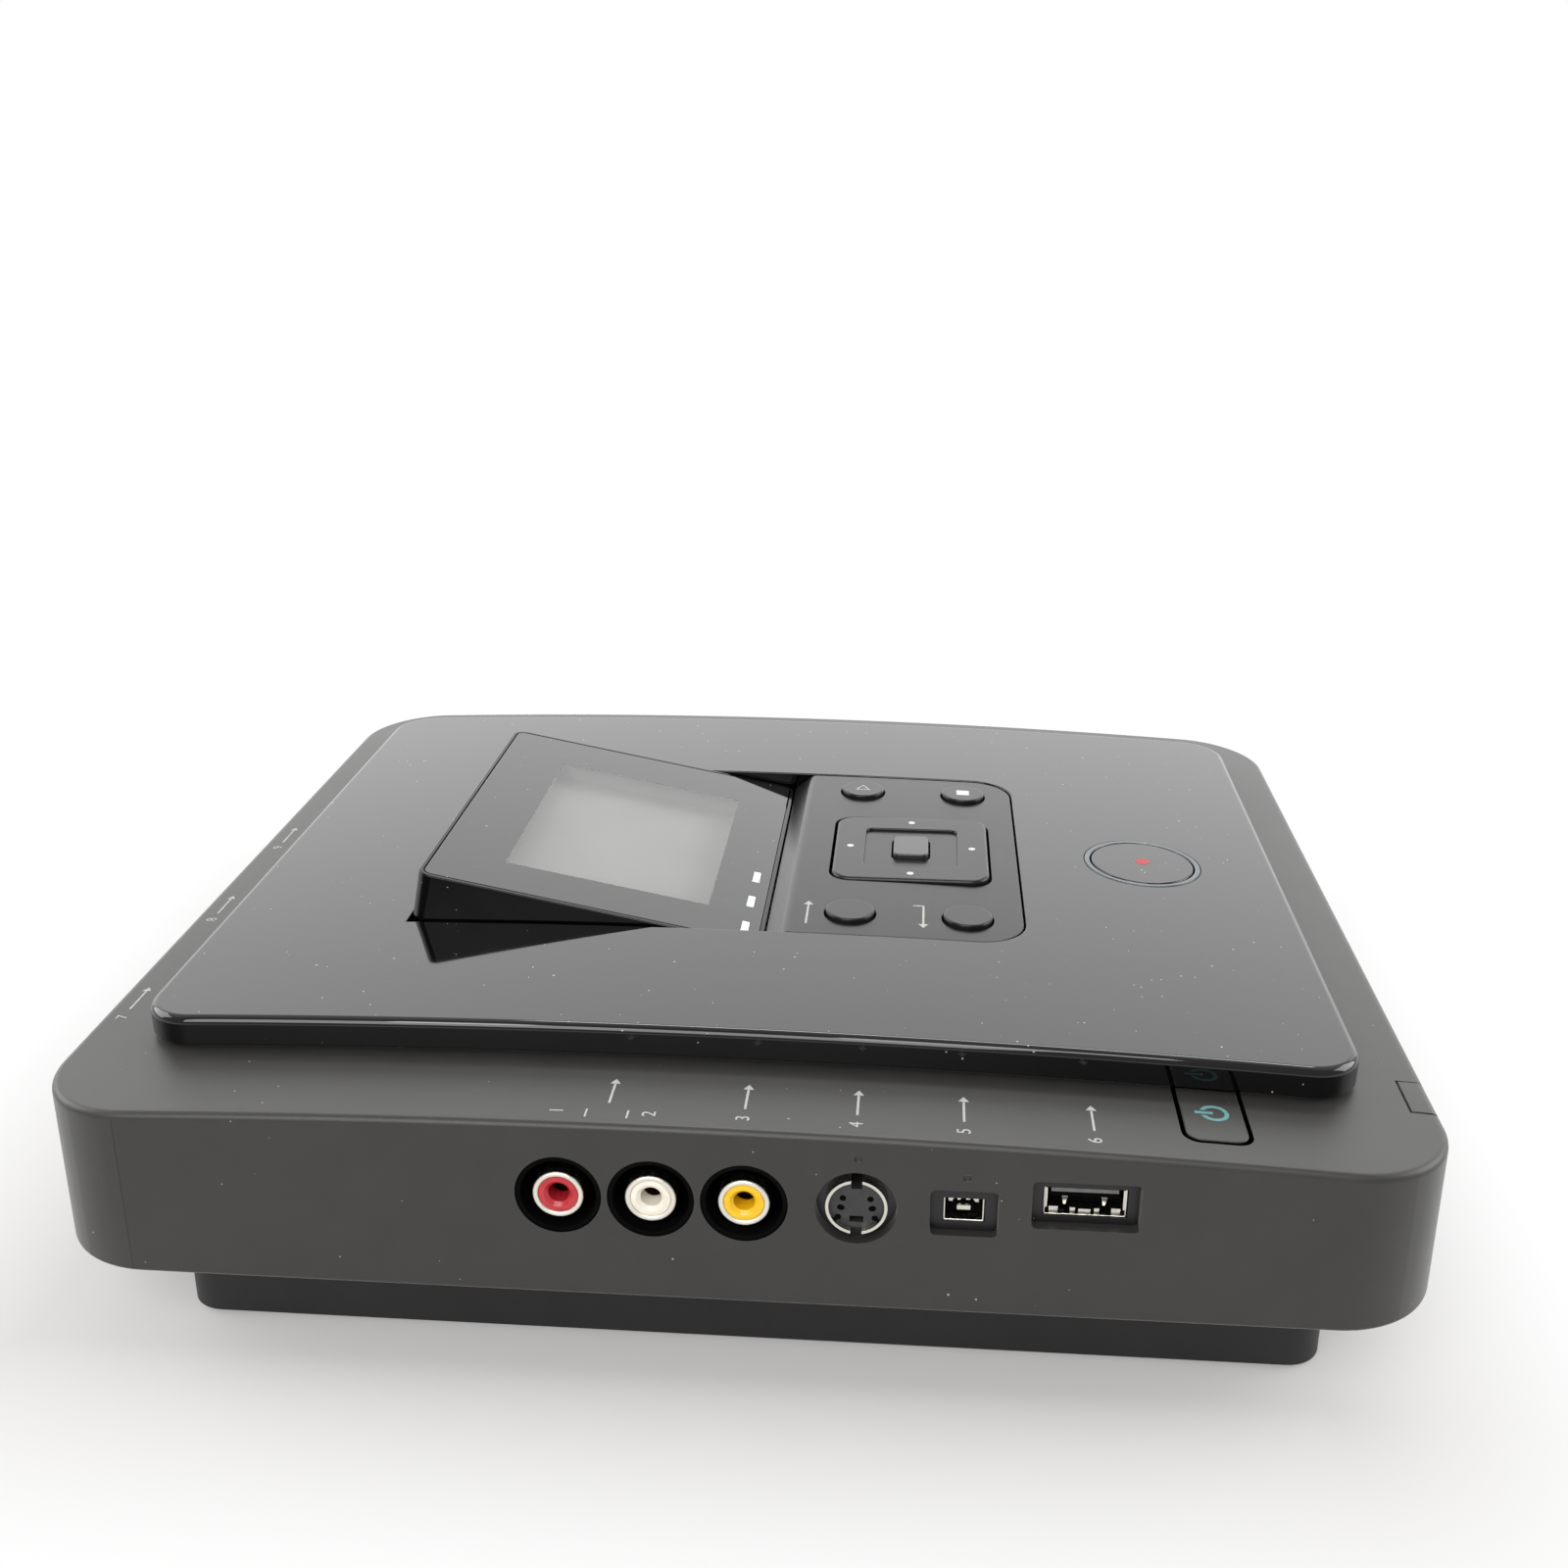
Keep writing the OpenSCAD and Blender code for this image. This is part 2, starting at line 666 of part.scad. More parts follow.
module eject_key() {
    color("#4a4845") {
        side_profile(eject_w, [
            [front_face, eject_low],
            [front_face + eject_d, eject_low],
            [front_face + eject_d, crown_z(front_face + eject_d, 0.1)],
            [front_face, crown_z(front_face, 0.1)]
        ]);
        side_profile(eject_w, [
            [eject_flange_front, crown_z(eject_flange_front, -case_wall - 1.5)],
            [eject_flange_back, crown_z(eject_flange_back, -case_wall - 1.5)],
            [eject_flange_back, crown_z(eject_flange_back, -case_wall - flange_gap)],
            [eject_flange_front, crown_z(eject_flange_front, -case_wall - flange_gap)]
        ]);
        bar_z(1.8, input_board_z + board_t + switch_h + stem_gap, crown_z(eject_stem_y, -case_wall - 0.8),
            eject_x, eject_stem_y);
    }
}

board_front = -record_front - 15.5;
board_back = panel_back + 1.5;
board_w = opening_w - 4;
gimbal_post_y = gimbal_r + pivot_reach - 0.8;

module control_board() {
    color("#1f5a34") {
        block([-board_w / 2, board_front, control_board_z],
            [board_w / 2, board_back, control_board_z + board_t]);
        for (s = [-1, 1]) difference() {
            translate([-1.6, -pad_front + s * gimbal_post_y - 0.8, control_board_z + board_t / 2])
                cube([3.2, 1.6, gimbal_z + 1.3 - control_board_z - board_t / 2]);
            bar_y(pivot_r + bearing_play, -pad_front - 20, -pad_front + 20, 0, gimbal_z);
        }
    }
}

module tact_switch(x, y, z) {
    translate([x - 2.6, y - 2.6, z]) cube([5.2, 5.2, switch_h]);
}

module tact_switches() {
    top = control_board_z + board_t;
    color("#c9c9c4") {
        for (x = [-1, 1], y = [button_front_y, button_back_y]) tact_switch(x * button_x, y, top);
        for (x = [-1, 1]) tact_switch(x * pad_switch, -pad_front, top);
        for (y = [-1, 1]) tact_switch(0, -pad_front + y * pad_switch, top);
        tact_switch(0, -pad_front, top);
        tact_switch(0, record_y, top);
        tact_switch(power_stem_x, -power_front, input_board_z + board_t);
        tact_switch(eject_x, eject_stem_y, input_board_z + board_t);
    }
}

// Display, built flat with its face at height zero and its front edge on the X axis, then tilted

display_y = slope_back + 0.3;
window_t = 1.4;
window_rim = 0.8;
panel_module_t = 2.9;

module tilted() {
    translate([0, display_y, display_z]) rotate([display_tilt, 0, 0]) children();
}

module display_plan(inset) {
    translate([0, display_l / 2])
        rounded_plan(display_w - 2 * inset, display_l - 2 * inset, 3 - inset);
}

picture_y = picture_front + picture_l / 2;
led_y = 3.9;
led_pitch = 12;
led_x = -36;
led_w = 5.2;
led_l = 1.6;

module display_housing() {
    ear_y = 26;
    ear_top = crown_z(ear_y, lid_gap);
    color("#1b1b1c") {
        tilted() difference() {
            translate([0, 0, -display_t]) linear_extrude(display_t) display_plan(0);
            translate([0, 0, -window_t]) linear_extrude(2 * window_t) display_plan(window_rim);
            translate([0, 0, -display_t + display_wall]) linear_extrude(display_t)
                display_plan(window_rim + display_wall);
        }
        for (s = [-1, 1])
            intersection() {
                translate([s * (display_w / 2 - 0.7) - (s < 0 ? panel_lip + 1.7 : 0), ear_y - 8, ear_top - 1.9])
                    cube([panel_lip + 1.7, 16, 3]);
                crown(lid_gap);
            }
    }
}

module display_window() {
    color("#555759") tilted() difference() {
        translate([0, 0, -window_t]) linear_extrude(window_t) display_plan(window_rim + 0.1);
        for (i = [0:2]) translate([led_x + i * led_pitch, led_y, -2 * window_t]) linear_extrude(3 * window_t)
            square([led_w + 0.1, led_l + 0.1], center = true);
    }
}

module display_panel() {
    color("#b4b4b0") tilted()
        translate([-(picture_w + 5) / 2, picture_front - 3, -display_t + display_wall])
            cube([picture_w + 5, picture_l + 6, panel_module_t]);
}

module indicator_windows() {
    color("#e8e8e4") tilted() for (i = [0:2])
        translate([led_x + i * led_pitch, led_y, -window_t]) {
            linear_extrude(window_t) square([led_w, led_l], center = true);
            translate([0, 0, -0.8]) linear_extrude(0.8) square([led_w + 0.8, led_l + 0.8], center = true);
        }
}

// Left sockets on the input board

// Height of the socket row above the input board's underside
jack_up = 8.5;
input_board_z = jack_z - jack_up;
input_board_left = left_face + case_wall + 0.4;
input_board_right = -drive_w / 2 - 3.2;
input_board_front = post_front + post_r + 4;
input_board_back = rca_back + 11;
input_post_x = left_face + plinth_inset - 5.5;
input_posts = [input_board_front + 8, 0, input_board_back - 6];
input_top = input_board_z + board_t;
rca_r = rca_d / 2;
rca_shell_t = 0.9;
// Wall of the block's collars in the case's holes
collar_wall = 0.8;
// Depth of the phono block behind its wells
block_depth = 9;
rca_end = left_face + rca_well + 7;
socket_gap = 0.4;
pocket_wall = 1.2;
pocket_depth = 3.2;
usb_z = jack_z + usb_up;
usb_pocket_w = 16.9;
usb_pocket_h = 8.6;
usb_pocket_z = usb_z + 0.4;
usb_w = 13.2;
usb_h = 5.8;
usb_shell_t = 0.4;
usb_face = left_face + 2.4;
usb_l = 14;
dv_pocket_w = 10.7;
dv_pocket_h = 8.3;
dv_z = jack_z - 0.4;
dv_w = 6.6;
dv_h = 4.6;
dv_face = left_face + 2;
dv_l = 9;
svideo_r = svideo_d / 2;
svideo_face = left_face + 0.3;

module input_board() {
    color("#1f5a34") {
        block([input_board_left, input_board_front, input_board_z],
            [input_board_right, input_board_back, input_top]);
        block([eject_x - 3, front_face + case_wall + 0.6, input_board_z],
            [input_board_right, input_board_front + 1, input_top]);
    }
}

module rca_block() {
    color("#0e0e0f") difference() {
        union() {
            block([left_face + case_wall + 0.1, rca_back - 2 * rca_pitch - rca_well_d / 2 - 1, input_top],
                [left_face + rca_well + block_depth, rca_back + rca_well_d / 2 + 1,
                    jack_z + rca_well_d / 2 + 1]);
            for (i = [0:2])
                bar_x(rca_well_d / 2 - 0.1, left_face + 0.2, left_face + case_wall + 0.5,
                    rca_back - i * rca_pitch, jack_z);
        }
        for (i = [0:2]) {
            bar_x(rca_r, left_face - eps, rca_end, rca_back - i * rca_pitch, jack_z);
            bar_x(rca_well_d / 2 - collar_wall, left_face - eps, left_face + rca_well,
                rca_back - i * rca_pitch, jack_z);
        }
    }
}

module rca_shells() {
    color("#d8d6cf") for (i = [0:2]) difference() {
        bar_x(rca_r, left_face, rca_end, rca_back - i * rca_pitch, jack_z);
        bar_x(rca_r - rca_shell_t, left_face - eps, rca_end + eps, rca_back - i * rca_pitch, jack_z);
    }
}

// The coloured insulator inside a phono shell, with the pin's hole
module insulator(i) {
    difference() {
        bar_x(rca_r - rca_shell_t, left_face + 0.3, rca_end, rca_back - i * rca_pitch, jack_z);
        bar_x(1.7, left_face - eps, rca_end - 2, rca_back - i * rca_pitch, jack_z);
    }
}

module red_insulator() {
    color("#b5333d") insulator(0);
}

module white_insulator() {
    color("#e9e4d6") insulator(1);
}

module yellow_insulator() {
    color("#f2c400") insulator(2);
}

module svideo_ring() {
    color("#cfcdc6") difference() {
        bar_x(svideo_r, svideo_face, svideo_face + 8, -svideo_front, jack_z);
        bar_x(svideo_r - 0.5, svideo_face - eps, svideo_face + 9, -svideo_front, jack_z);
        for (z = [-1, 1])
            beam_x(svideo_face - eps, svideo_face + 5, -svideo_front, jack_z + z * svideo_r, 1.8, 2);
    }
}

module svideo_body() {
    color("#141415") difference() {
        union() {
            bar_x(svideo_r - 0.5, svideo_face + 1.2, svideo_face + 9, -svideo_front, jack_z);
            difference() {
                block([svideo_face + 2.6, -svideo_front - 7, input_top],
                    [svideo_face + 18, -svideo_front + 7, jack_z + 7]);
                bar_x(svideo_r, svideo_face, svideo_face + 8, -svideo_front, jack_z);
            }
        }
        for (y = [-1, 1]) {
            bar_x(0.5, svideo_face, svideo_face + 7, -svideo_front + y * 2.2, jack_z + 0.9);
            bar_x(0.5, svideo_face, svideo_face + 7, -svideo_front + y * 2.4, jack_z - 0.9);
        }
        beam_x(svideo_face, svideo_face + 7, -svideo_front, jack_z - 2.9, 2.2, 1.1);
        beam_x(svideo_face, svideo_face + 7, -svideo_front, jack_z + 3.6, 1.7, 1.8);
    }
}

// A sheet-metal socket shell along X, standing on the input board by its rear half
module socket_shell(x0, y, z, w, h, t, l) {
    difference() {
        union() {
            beam_x(x0, x0 + l, y, z, w, h);
            block([x0 + l / 2, y - w / 2, input_top], [x0 + l, y + w / 2, z]);
        }
        beam_x(x0 - eps, x0 + l - 2, y, z, w - 2 * t, h - 2 * t);
    }
}

module dv_shell() {
    color("#c8c6bf") socket_shell(dv_face, -dv_front, dv_z, dv_w, dv_h, 0.35, dv_l);
}

module dv_tongue() {
    color("#1a1a1b") beam_x(dv_face + 1.2, dv_face + dv_l - 2, -dv_front, dv_z - 0.2, 3.4, 1.3);
}

module usb_shell() {
    color("#c8c6bf") socket_shell(usb_face, -usb_front, usb_z, usb_w, usb_h, usb_shell_t, usb_l);
}

module usb_tongue() {
    color("#e4e2da") beam_x(usb_face + 1, usb_face + usb_l - 2, -usb_front, usb_z + 0.9, 11.1, 1.8);
}

// Rear and right sockets

main_board_z = 25.5;
main_board_front = chassis_back + 4;
main_board_back = back_face - case_wall - 3;
main_board_d = main_board_back - main_board_front;
main_board_left = -inlet_left - 13;
main_board_right = hdmi_right + 43;
main_posts = [main_board_left + 6, main_board_right - 6];
main_top = main_board_z + board_t;
inlet_r = 4.6;
av_r = 3.6;
hdmi_w = 15;
hdmi_h = 5.6;
card_post_x = right_face - plinth_inset + 5.5;
card_low = 29;
card_high = 37;
card_front_slot_y = front_face + card_in - card_gap / 2;
card_back_slot_y = front_face + card_in + card_gap / 2;
card_face = right_face - case_wall - 0.2;
// Clearance between the card reader and the drive
card_clear = 5.9;
card_l = card_face - drive_w / 2 - card_clear;

module main_board() {
    color("#1f5a34") {
        block([main_board_left, main_board_front, main_board_z], [main_board_right, main_board_back, main_top]);
        for (chip = [[-44, 0.42], [4, 0.5], [34, 0.28], [50, 0.25]])
            translate([chip.x, main_board_front + 0.32 * main_board_d, main_top + 0.8])
                cube([chip.y * main_board_d, chip.y * main_board_d, 1.62], center = true);
    }
}

module power_inlet() {
    color("#161616") difference() {
        union() {
            bar_y(inlet_r - fit, back_face - 14, back_face - 1.2, -inlet_left, rear_jack_z);
            block([-inlet_left - 4.5, back_face - 18, main_top],
                [-inlet_left + 4.5, back_face - 7, rear_jack_z + 4.5]);
        }
        difference() {
            bar_y(2.75, back_face - 11, back_face, -inlet_left, rear_jack_z);
            bar_y(0.9, back_face - 12, back_face - 2, -inlet_left, rear_jack_z);
        }
    }
}

module av_jack() {
    color("#d9a63a") difference() {
        union() {
            bar_y(av_r, back_face - 12, back_face - 0.4, -av_left, rear_jack_z);
            block([-av_left - 4, back_face - 20, main_top], [-av_left + 4, back_face - 6, rear_jack_z + 4.2]);
        }
        bar_y(1.8, back_face - 16, back_face, -av_left, rear_jack_z);
    }
}

module hdmi_shell() {
    color("#c8c6bf") difference() {
        union() {
            beam_y(back_face - 13, back_face - 0.8, hdmi_right, rear_jack_z, hdmi_w, hdmi_h);
            block([hdmi_right - hdmi_w / 2, back_face - 13, main_top],
                [hdmi_right + hdmi_w / 2, back_face - 7, rear_jack_z]);
        }
        beam_y(back_face - 10.5, back_face, hdmi_right, rear_jack_z, hdmi_w - 1, hdmi_h - 1);
    }
}

module hdmi_tongue() {
    color("#1a1a1b") beam_y(back_face - 10.5, back_face - 2.6, hdmi_right, rear_jack_z + 0.4, 11.5, 1.3);
}

module card_reader() {
    color("#b9b8b3") difference() {
        block([card_face - card_l, card_front_slot_y - card_slot_w / 2 - 4, card_low],
            [card_face, card_back_slot_y + small_slot_w / 2 + 4, card_high]);
        beam_x(card_face - card_l + 3, card_face + eps, card_front_slot_y, card_z, card_slot_w, card_slot_h);
        beam_x(card_face - card_l + 3, card_face + eps, card_back_slot_y, card_z, small_slot_w, small_slot_h);
    }
}

// Disc drive

chassis_z = base_floor + 1.2;
chassis_t = 1.5;
chassis_floor = chassis_z + chassis_t;
chassis_top = 39.6;
cover_t = 1;
drive_seats = [chassis_front + 12, chassis_back - 12];
spindle_y = front_face + spindle_in;
recess_r = disc_recess_d / 2;
tray_plate_front = front_face + 4;
tray_plate_back = tray_plate_front + tray_l;
tray_top = tray_z + tray_floor + recess_h;
runner_w = 4;
runner_t = 2;
ledge_x = tray_w / 2 + runner_w + slide_play;
slot_w = 35;
slot_front = spindle_y - 19;
slot_back = spindle_y + sled_travel + 31;

gear_module = 1;
pressure_angle = 20;
tooth_play = 0.25;
tip_h = 0.95 * gear_module;
root_h = 1.25 * gear_module;
rack_h = 2.8;
tray_gear_r = gear_module * tray_teeth / 2;
pinion_r = gear_module * pinion_teeth / 2;
rack_line = -tray_w / 2 + 10;
tray_gear_x = rack_line + tray_gear_r;
gear_y = chassis_front + 17;
pulley_x = tray_gear_x + tray_gear_r + pinion_r;
motor_x = pulley_x + 35;
gear_low = tray_z - rack_h + 0.2;
gear_high = tray_z - slide_play;
pulley_low = gear_low - 5.6;
pulley_high = gear_low - 1.2;
groove_r = 11.5;
motor_groove_r = 3.4;
belt_t = 1.2;
belt_play = 0.15;
belt_mid = (pulley_low + pulley_high) / 2;
post_pin_r = 1.5;

function involute(a) = tan(a) * 180 / PI - a;

// Half the angle that a tooth takes up at radius r
function tooth_half(teeth, r) =
    let (rp = gear_module * teeth / 2, rb = rp * cos(pressure_angle))
    90 / teeth - tooth_play / rp * 90 / PI + involute(pressure_angle) - involute(acos(min(1, rb / r)));

// One flank of a tooth as radius and half angle, from root to tip
function flank(teeth) =
    let (rp = gear_module * teeth / 2, rb = rp * cos(pressure_angle), tip = rp + tip_h)
    concat([[rp - root_h, tooth_half(teeth, rb)]],
        [for (i = [0:3]) let (r = rb + (tip - rb) * i / 3) [r, tooth_half(teeth, r)]]);

module spur_gear(teeth, h) {
    f = flank(teeth);
    last = len(f) - 1;
    linear_extrude(h) polygon([for (t = [0:teeth - 1]) each concat(
        [for (i = [0:last]) f[i][0] * [cos(360 / teeth * t - f[i][1]), sin(360 / teeth * t - f[i][1])]],
        [for (i = [last:-1:0]) f[i][0] * [cos(360 / teeth * t + f[i][1]), sin(360 / teeth * t + f[i][1])]])]);
}

// The tray's rack, with a gap between teeth facing the gear at rest
module rack() {
    pitch = PI * gear_module;
    half = pitch / 4 - tooth_play / 2;
    lean = tan(pressure_angle);
    first = ceil((tray_plate_front + 4 - gear_y) / pitch);
    last = floor((tray_plate_back - 4 - gear_y) / pitch) - 1;
    tip = half - tip_h * lean;
    root = half + root_h * lean;
    translate([0, 0, tray_z - rack_h]) linear_extrude(rack_h + 0.5) union() {
        translate([rack_line - root_h - 3, tray_plate_front + 2]) square([3, tray_l - 4]);
        for (i = [first:last]) translate([rack_line, gear_y + (i + 0.5) * pitch])
            polygon([[-root_h - 0.2, -root], [tip_h, -tip], [tip_h, tip], [-root_h - 0.2, root]]);
    }
}

module disc_tray() {
    color("#232324") union() {
        difference() {
            union() {
                block([-tray_w / 2, tray_plate_front, tray_z], [tray_w / 2, tray_plate_back, tray_top]);
                block([-tray_w / 2 - runner_w, chassis_front + 1, tray_z],
                    [tray_w / 2 + runner_w, tray_plate_back, tray_z + runner_t]);
            }
            bar_z(recess_r, tray_z + tray_floor, tray_top + eps, 0, spindle_y);
            bar_z(40.6, tray_z + tray_floor - 0.6, tray_top + eps, 0, spindle_y);
            block([-slot_w / 2, slot_front, tray_z - eps], [slot_w / 2, slot_back, tray_top + eps]);
            block([-slot_w / 2, spindle_y, tray_z + tray_floor],
                [slot_w / 2, tray_plate_back + eps, tray_top + eps]);
        }
        rack();
    }
}

module tray_front() {
    color("#4a4845") beam_y(front_face, tray_plate_front, 0, tray_front_mid, tray_front_w, tray_front_h);
}

module tray_gear() {
    color("#e6e4dc") translate([tray_gear_x, gear_y, gear_low]) difference() {
        spur_gear(tray_teeth, gear_high - gear_low);
        bar_z(post_pin_r + bearing_play, -eps, 2 * rack_h, 0, 0);
    }
}

module belt_pulley() {
    color("#e6e4dc") translate([pulley_x, gear_y, 0]) difference() {
        union() {
            translate([0, 0, pulley_high]) rotate(180 / pinion_teeth)
                spur_gear(pinion_teeth, gear_high - pulley_high);
            bar_z(groove_r, pulley_low, pulley_high, 0, 0);
            bar_z(groove_r + 1.5, pulley_low, pulley_low + 1, 0, 0);
            bar_z(groove_r + 1.5, pulley_high - 1, pulley_high, 0, 0);
        }
        bar_z(post_pin_r + bearing_play, pulley_low - eps, gear_high + eps, 0, 0);
    }
}

module belt_outline(grow) {
    hull() {
        translate([pulley_x, gear_y]) circle(groove_r + belt_play + grow);
        translate([motor_x, gear_y]) circle(motor_groove_r + belt_play + grow);
    }
}

module drive_belt() {
    color("#1a1a1a") translate([0, 0, belt_mid - belt_t / 2]) linear_extrude(belt_t) difference() {
        belt_outline(belt_t);
        belt_outline(0);
    }
}

motor_r = 10.5;
motor_top = pulley_low - 0.8;

module motor_pulley() {
    color("#e6e4dc") difference() {
        union() {
            bar_z(motor_groove_r, pulley_low, pulley_high, motor_x, gear_y);
            bar_z(motor_groove_r + 1.5, pulley_low, pulley_low + 1, motor_x, gear_y);
            bar_z(motor_groove_r + 1.5, pulley_high - 1, pulley_high, motor_x, gear_y);
        }
        bar_z(1 + bearing_play, pulley_low - eps, pulley_high + eps, motor_x, gear_y);
    }
}

module loading_motor() {
    color("#b0aea8") {
        bar_z(motor_r, chassis_floor, motor_top, motor_x, gear_y);
        bar_z(1, motor_top - eps, pulley_high, motor_x, gear_y);
    }
}

// The lifting frame and what it carries are built level, in the playing position, then lowered

// Distance of the lifting frame's pivot behind the spindle
pivot_back = 87;
pivot_y = spindle_y + pivot_back;
pivot_z = 17;
pivot_pin_r = 2;
frame_low = 15.5;
frame_high = 20;
frame_w = 92;
frame_front = spindle_y - 15;
frame_back = pivot_y + 4;
well_left = -31;
well_right = 37;
well_front = spindle_y + 16;
well_back = pivot_y - 4;
rod_r = 1.5;
rod_left = -26;
rod_right = 22;
rod_z = 17.7;
lead_x = 31;
lead_r = 1.4;
seat_z = 29;
hub_r = 7.4;
turntable_r = 15;
bearing_x = frame_w / 2 + 1;
bearing_w = 5;

module lowered() {
    translate([0, pivot_y, pivot_z]) rotate([lift_angle, 0, 0]) translate([0, -pivot_y, -pivot_z]) children();
}

module lift_frame() {
    color("#3a3d40") lowered() {
        difference() {
            block([-frame_w / 2, frame_front, frame_low], [frame_w / 2, frame_back, frame_high]);
            block([well_left, well_front, frame_low - eps], [well_right, well_back, frame_high + eps]);
            for (x = [rod_left, rod_right]) bar_y(rod_r, well_front - 3, well_back + 3, x, rod_z);
            bar_y(lead_r + bearing_play, well_front - 3, frame_back + eps, lead_x, rod_z);
        }
        for (s = [-1, 1])
            bar_x(pivot_pin_r, s < 0 ? -bearing_x - bearing_w : frame_w / 2 - eps,
                s < 0 ? -frame_w / 2 + eps : bearing_x + bearing_w, pivot_y, pivot_z);
    }
}

module spindle_motor() {
    color("#b0aea8") lowered() {
        bar_z(12.5, frame_high, seat_z - 3.4, 0, spindle_y);
        bar_z(1.5, seat_z - 4, seat_z + 1.6, 0, spindle_y);
    }
}

module turntable() {
    color("#2a2a2b") lowered() difference() {
        union() {
            bar_z(turntable_r, seat_z - 3, seat_z, 0, spindle_y);
            bar_z(hub_r, seat_z - eps, seat_z + 1.4, 0, spindle_y);
            translate([0, spindle_y, seat_z + 1.4]) cylinder(r1 = hub_r, r2 = hub_r - 1.6, h = 1);
        }
        bar_z(1.5 + bearing_play, seat_z - 4, seat_z + 1.7, 0, spindle_y);
    }
}

module guide_rods() {
    color("#d2d0ca") lowered() for (x = [rod_left, rod_right])
        bar_y(rod_r, well_front - 3, well_back + 3, x, rod_z);
}

lens_y = spindle_y + 25;
sled_front = lens_y - 8;
sled_back = lens_y + 13;
sled_low = 13;
sled_high = 24.4;
lens_r = 4;
lens_well_r = lens_r + 0.6;

module laser_sled() {
    color("#3b3f45") lowered() difference() {
        union() {
            block([rod_left - 3.4, sled_front, sled_low], [rod_right + 3.4, sled_back, sled_high - 3]);
            block([-12, sled_front, sled_high - 4], [12, sled_back, sled_high]);
            block([rod_right, lens_y, rod_z - 2.6], [lead_x + 3, lens_y + 8, rod_z + 2.6]);
        }
        for (x = [rod_left, rod_right])
            bar_y(rod_r + bearing_play, sled_front - eps, sled_back + eps, x, rod_z);
        bar_y(lead_r + bearing_play, lens_y - eps, lens_y + 9, lead_x, rod_z);
        bar_z(lens_well_r, sled_high - 5, sled_high + eps, 0, lens_y);
    }
}

module laser_lens() {
    color("#8fa7b5") lowered() {
        bar_z(lens_r, sled_high - 3.6, sled_high + 1.4, 0, lens_y);
        bar_z(lens_r - 1.2, sled_high + 1, sled_high + 2, 0, lens_y);
    }
}

module lead_screw() {
    color("#d2d0ca") lowered() bar_y(lead_r, well_front - 2.8, frame_back + 1, lead_x, rod_z);
}

module feed_motor() {
    color("#b0aea8") lowered() difference() {
        bar_y(6, frame_back, frame_back + 13, lead_x, rod_z);
        bar_y(lead_r + bearing_play, frame_back - eps, frame_back + 2, lead_x, rod_z);
    }
}

// A fixed pin with a shoulder under the gear that turns on it
module gear_post(x, shoulder, top) {
    bar_z(3, chassis_floor - eps, shoulder, x, gear_y);
    bar_z(post_pin_r, chassis_floor - eps, top, x, gear_y);
}

module drive_chassis() {
    half = drive_w / 2;
    color("#8f9194") difference() {
        union() {
            block([-half, chassis_front, chassis_z], [half, chassis_back, chassis_floor]);
            for (s = [-1, 1]) {
                block([s < 0 ? -half : half - chassis_t, chassis_front, chassis_z],
                    [s < 0 ? -half + chassis_t : half, chassis_back, chassis_top]);
                block([s < 0 ? -half : tray_w / 2 + 0.5, chassis_front, tray_z - 2.5],
                    [s < 0 ? -tray_w / 2 - 0.5 : half, chassis_back, tray_z - slide_play]);
                for (y = [chassis_front, chassis_front + 67])
                    block([s < 0 ? -half : tray_w / 2 + 1, y, tray_z + runner_t + slide_play],
                        [s < 0 ? -tray_w / 2 - 1 : half, y + 12, tray_z + runner_t + 2]);
                block([s < 0 ? -bearing_x - bearing_w : bearing_x, pivot_y - 4.5, chassis_floor - eps],
                    [s < 0 ? -bearing_x : bearing_x + bearing_w, pivot_y + 4.5, pivot_z + 4]);
            }
            block([-half, chassis_back - chassis_t, chassis_z], [half, chassis_back, chassis_top]);
            block([-half, chassis_front, chassis_z], [half, chassis_front + chassis_t, tray_z - rack_h - 1.5]);
            gear_post(tray_gear_x, gear_low - slide_play, gear_high - 0.3);
            gear_post(pulley_x, pulley_low - slide_play, gear_high - 0.3);
        }
        for (s = [-1, 1])
            bar_x(pivot_pin_r + bearing_play, s < 0 ? -bearing_x - bearing_w - eps : bearing_x - eps,
                s < 0 ? -bearing_x + eps : bearing_x + bearing_w + eps, pivot_y, pivot_z);
    }
}

clamp_r = 13;
clamp_play = 0.4;
clamp_low = seat_z + 1.4;
clamp_high = chassis_top + cover_t;

module drive_cover() {
    color("#a9abad") difference() {
        block([-drive_w / 2, chassis_front, chassis_top], [drive_w / 2, chassis_back, chassis_top + cover_t]);
        bar_z(clamp_r + clamp_play, chassis_top - eps, chassis_top + 2 * cover_t, 0, spindle_y);
    }
}

module disc_clamp() {
    color("#2a2a2b") difference() {
        union() {
            bar_z(clamp_r, clamp_low, clamp_high + 0.5, 0, spindle_y);
            bar_z(clamp_r + 3, clamp_high + 0.05, clamp_high + 1.4, 0, spindle_y);
        }
        bar_z(hub_r + 0.8, clamp_low - eps, clamp_low + 2.2, 0, spindle_y);
    }
}

upper_case();
bottom_cover();
top_lid();
rubber_feet();
case_screws();
control_panel();
play_button();
stop_button();
output_button();
return_button();
pad_gimbal();
direction_pad();
enter_key();
record_button();
record_ring();
power_key();
eject_key();
control_board();
tact_switches();
display_housing();
display_window();
display_panel();
indicator_windows();
rca_block();
rca_shells();
red_insulator();
white_insulator();
yellow_insulator();
svideo_body();
svideo_ring();
dv_shell();
dv_tongue();
usb_shell();
usb_tongue();
input_board();
main_board();
power_inlet();
av_jack();
hdmi_shell();
hdmi_tongue();
card_reader();
drive_chassis();
drive_cover();
disc_clamp();
disc_tray();
tray_front();
tray_gear();
belt_pulley();
drive_belt();
motor_pulley();
loading_motor();
lift_frame();
spindle_motor();
turntable();
guide_rods();
laser_sled();
laser_lens();
lead_screw();
feed_motor();
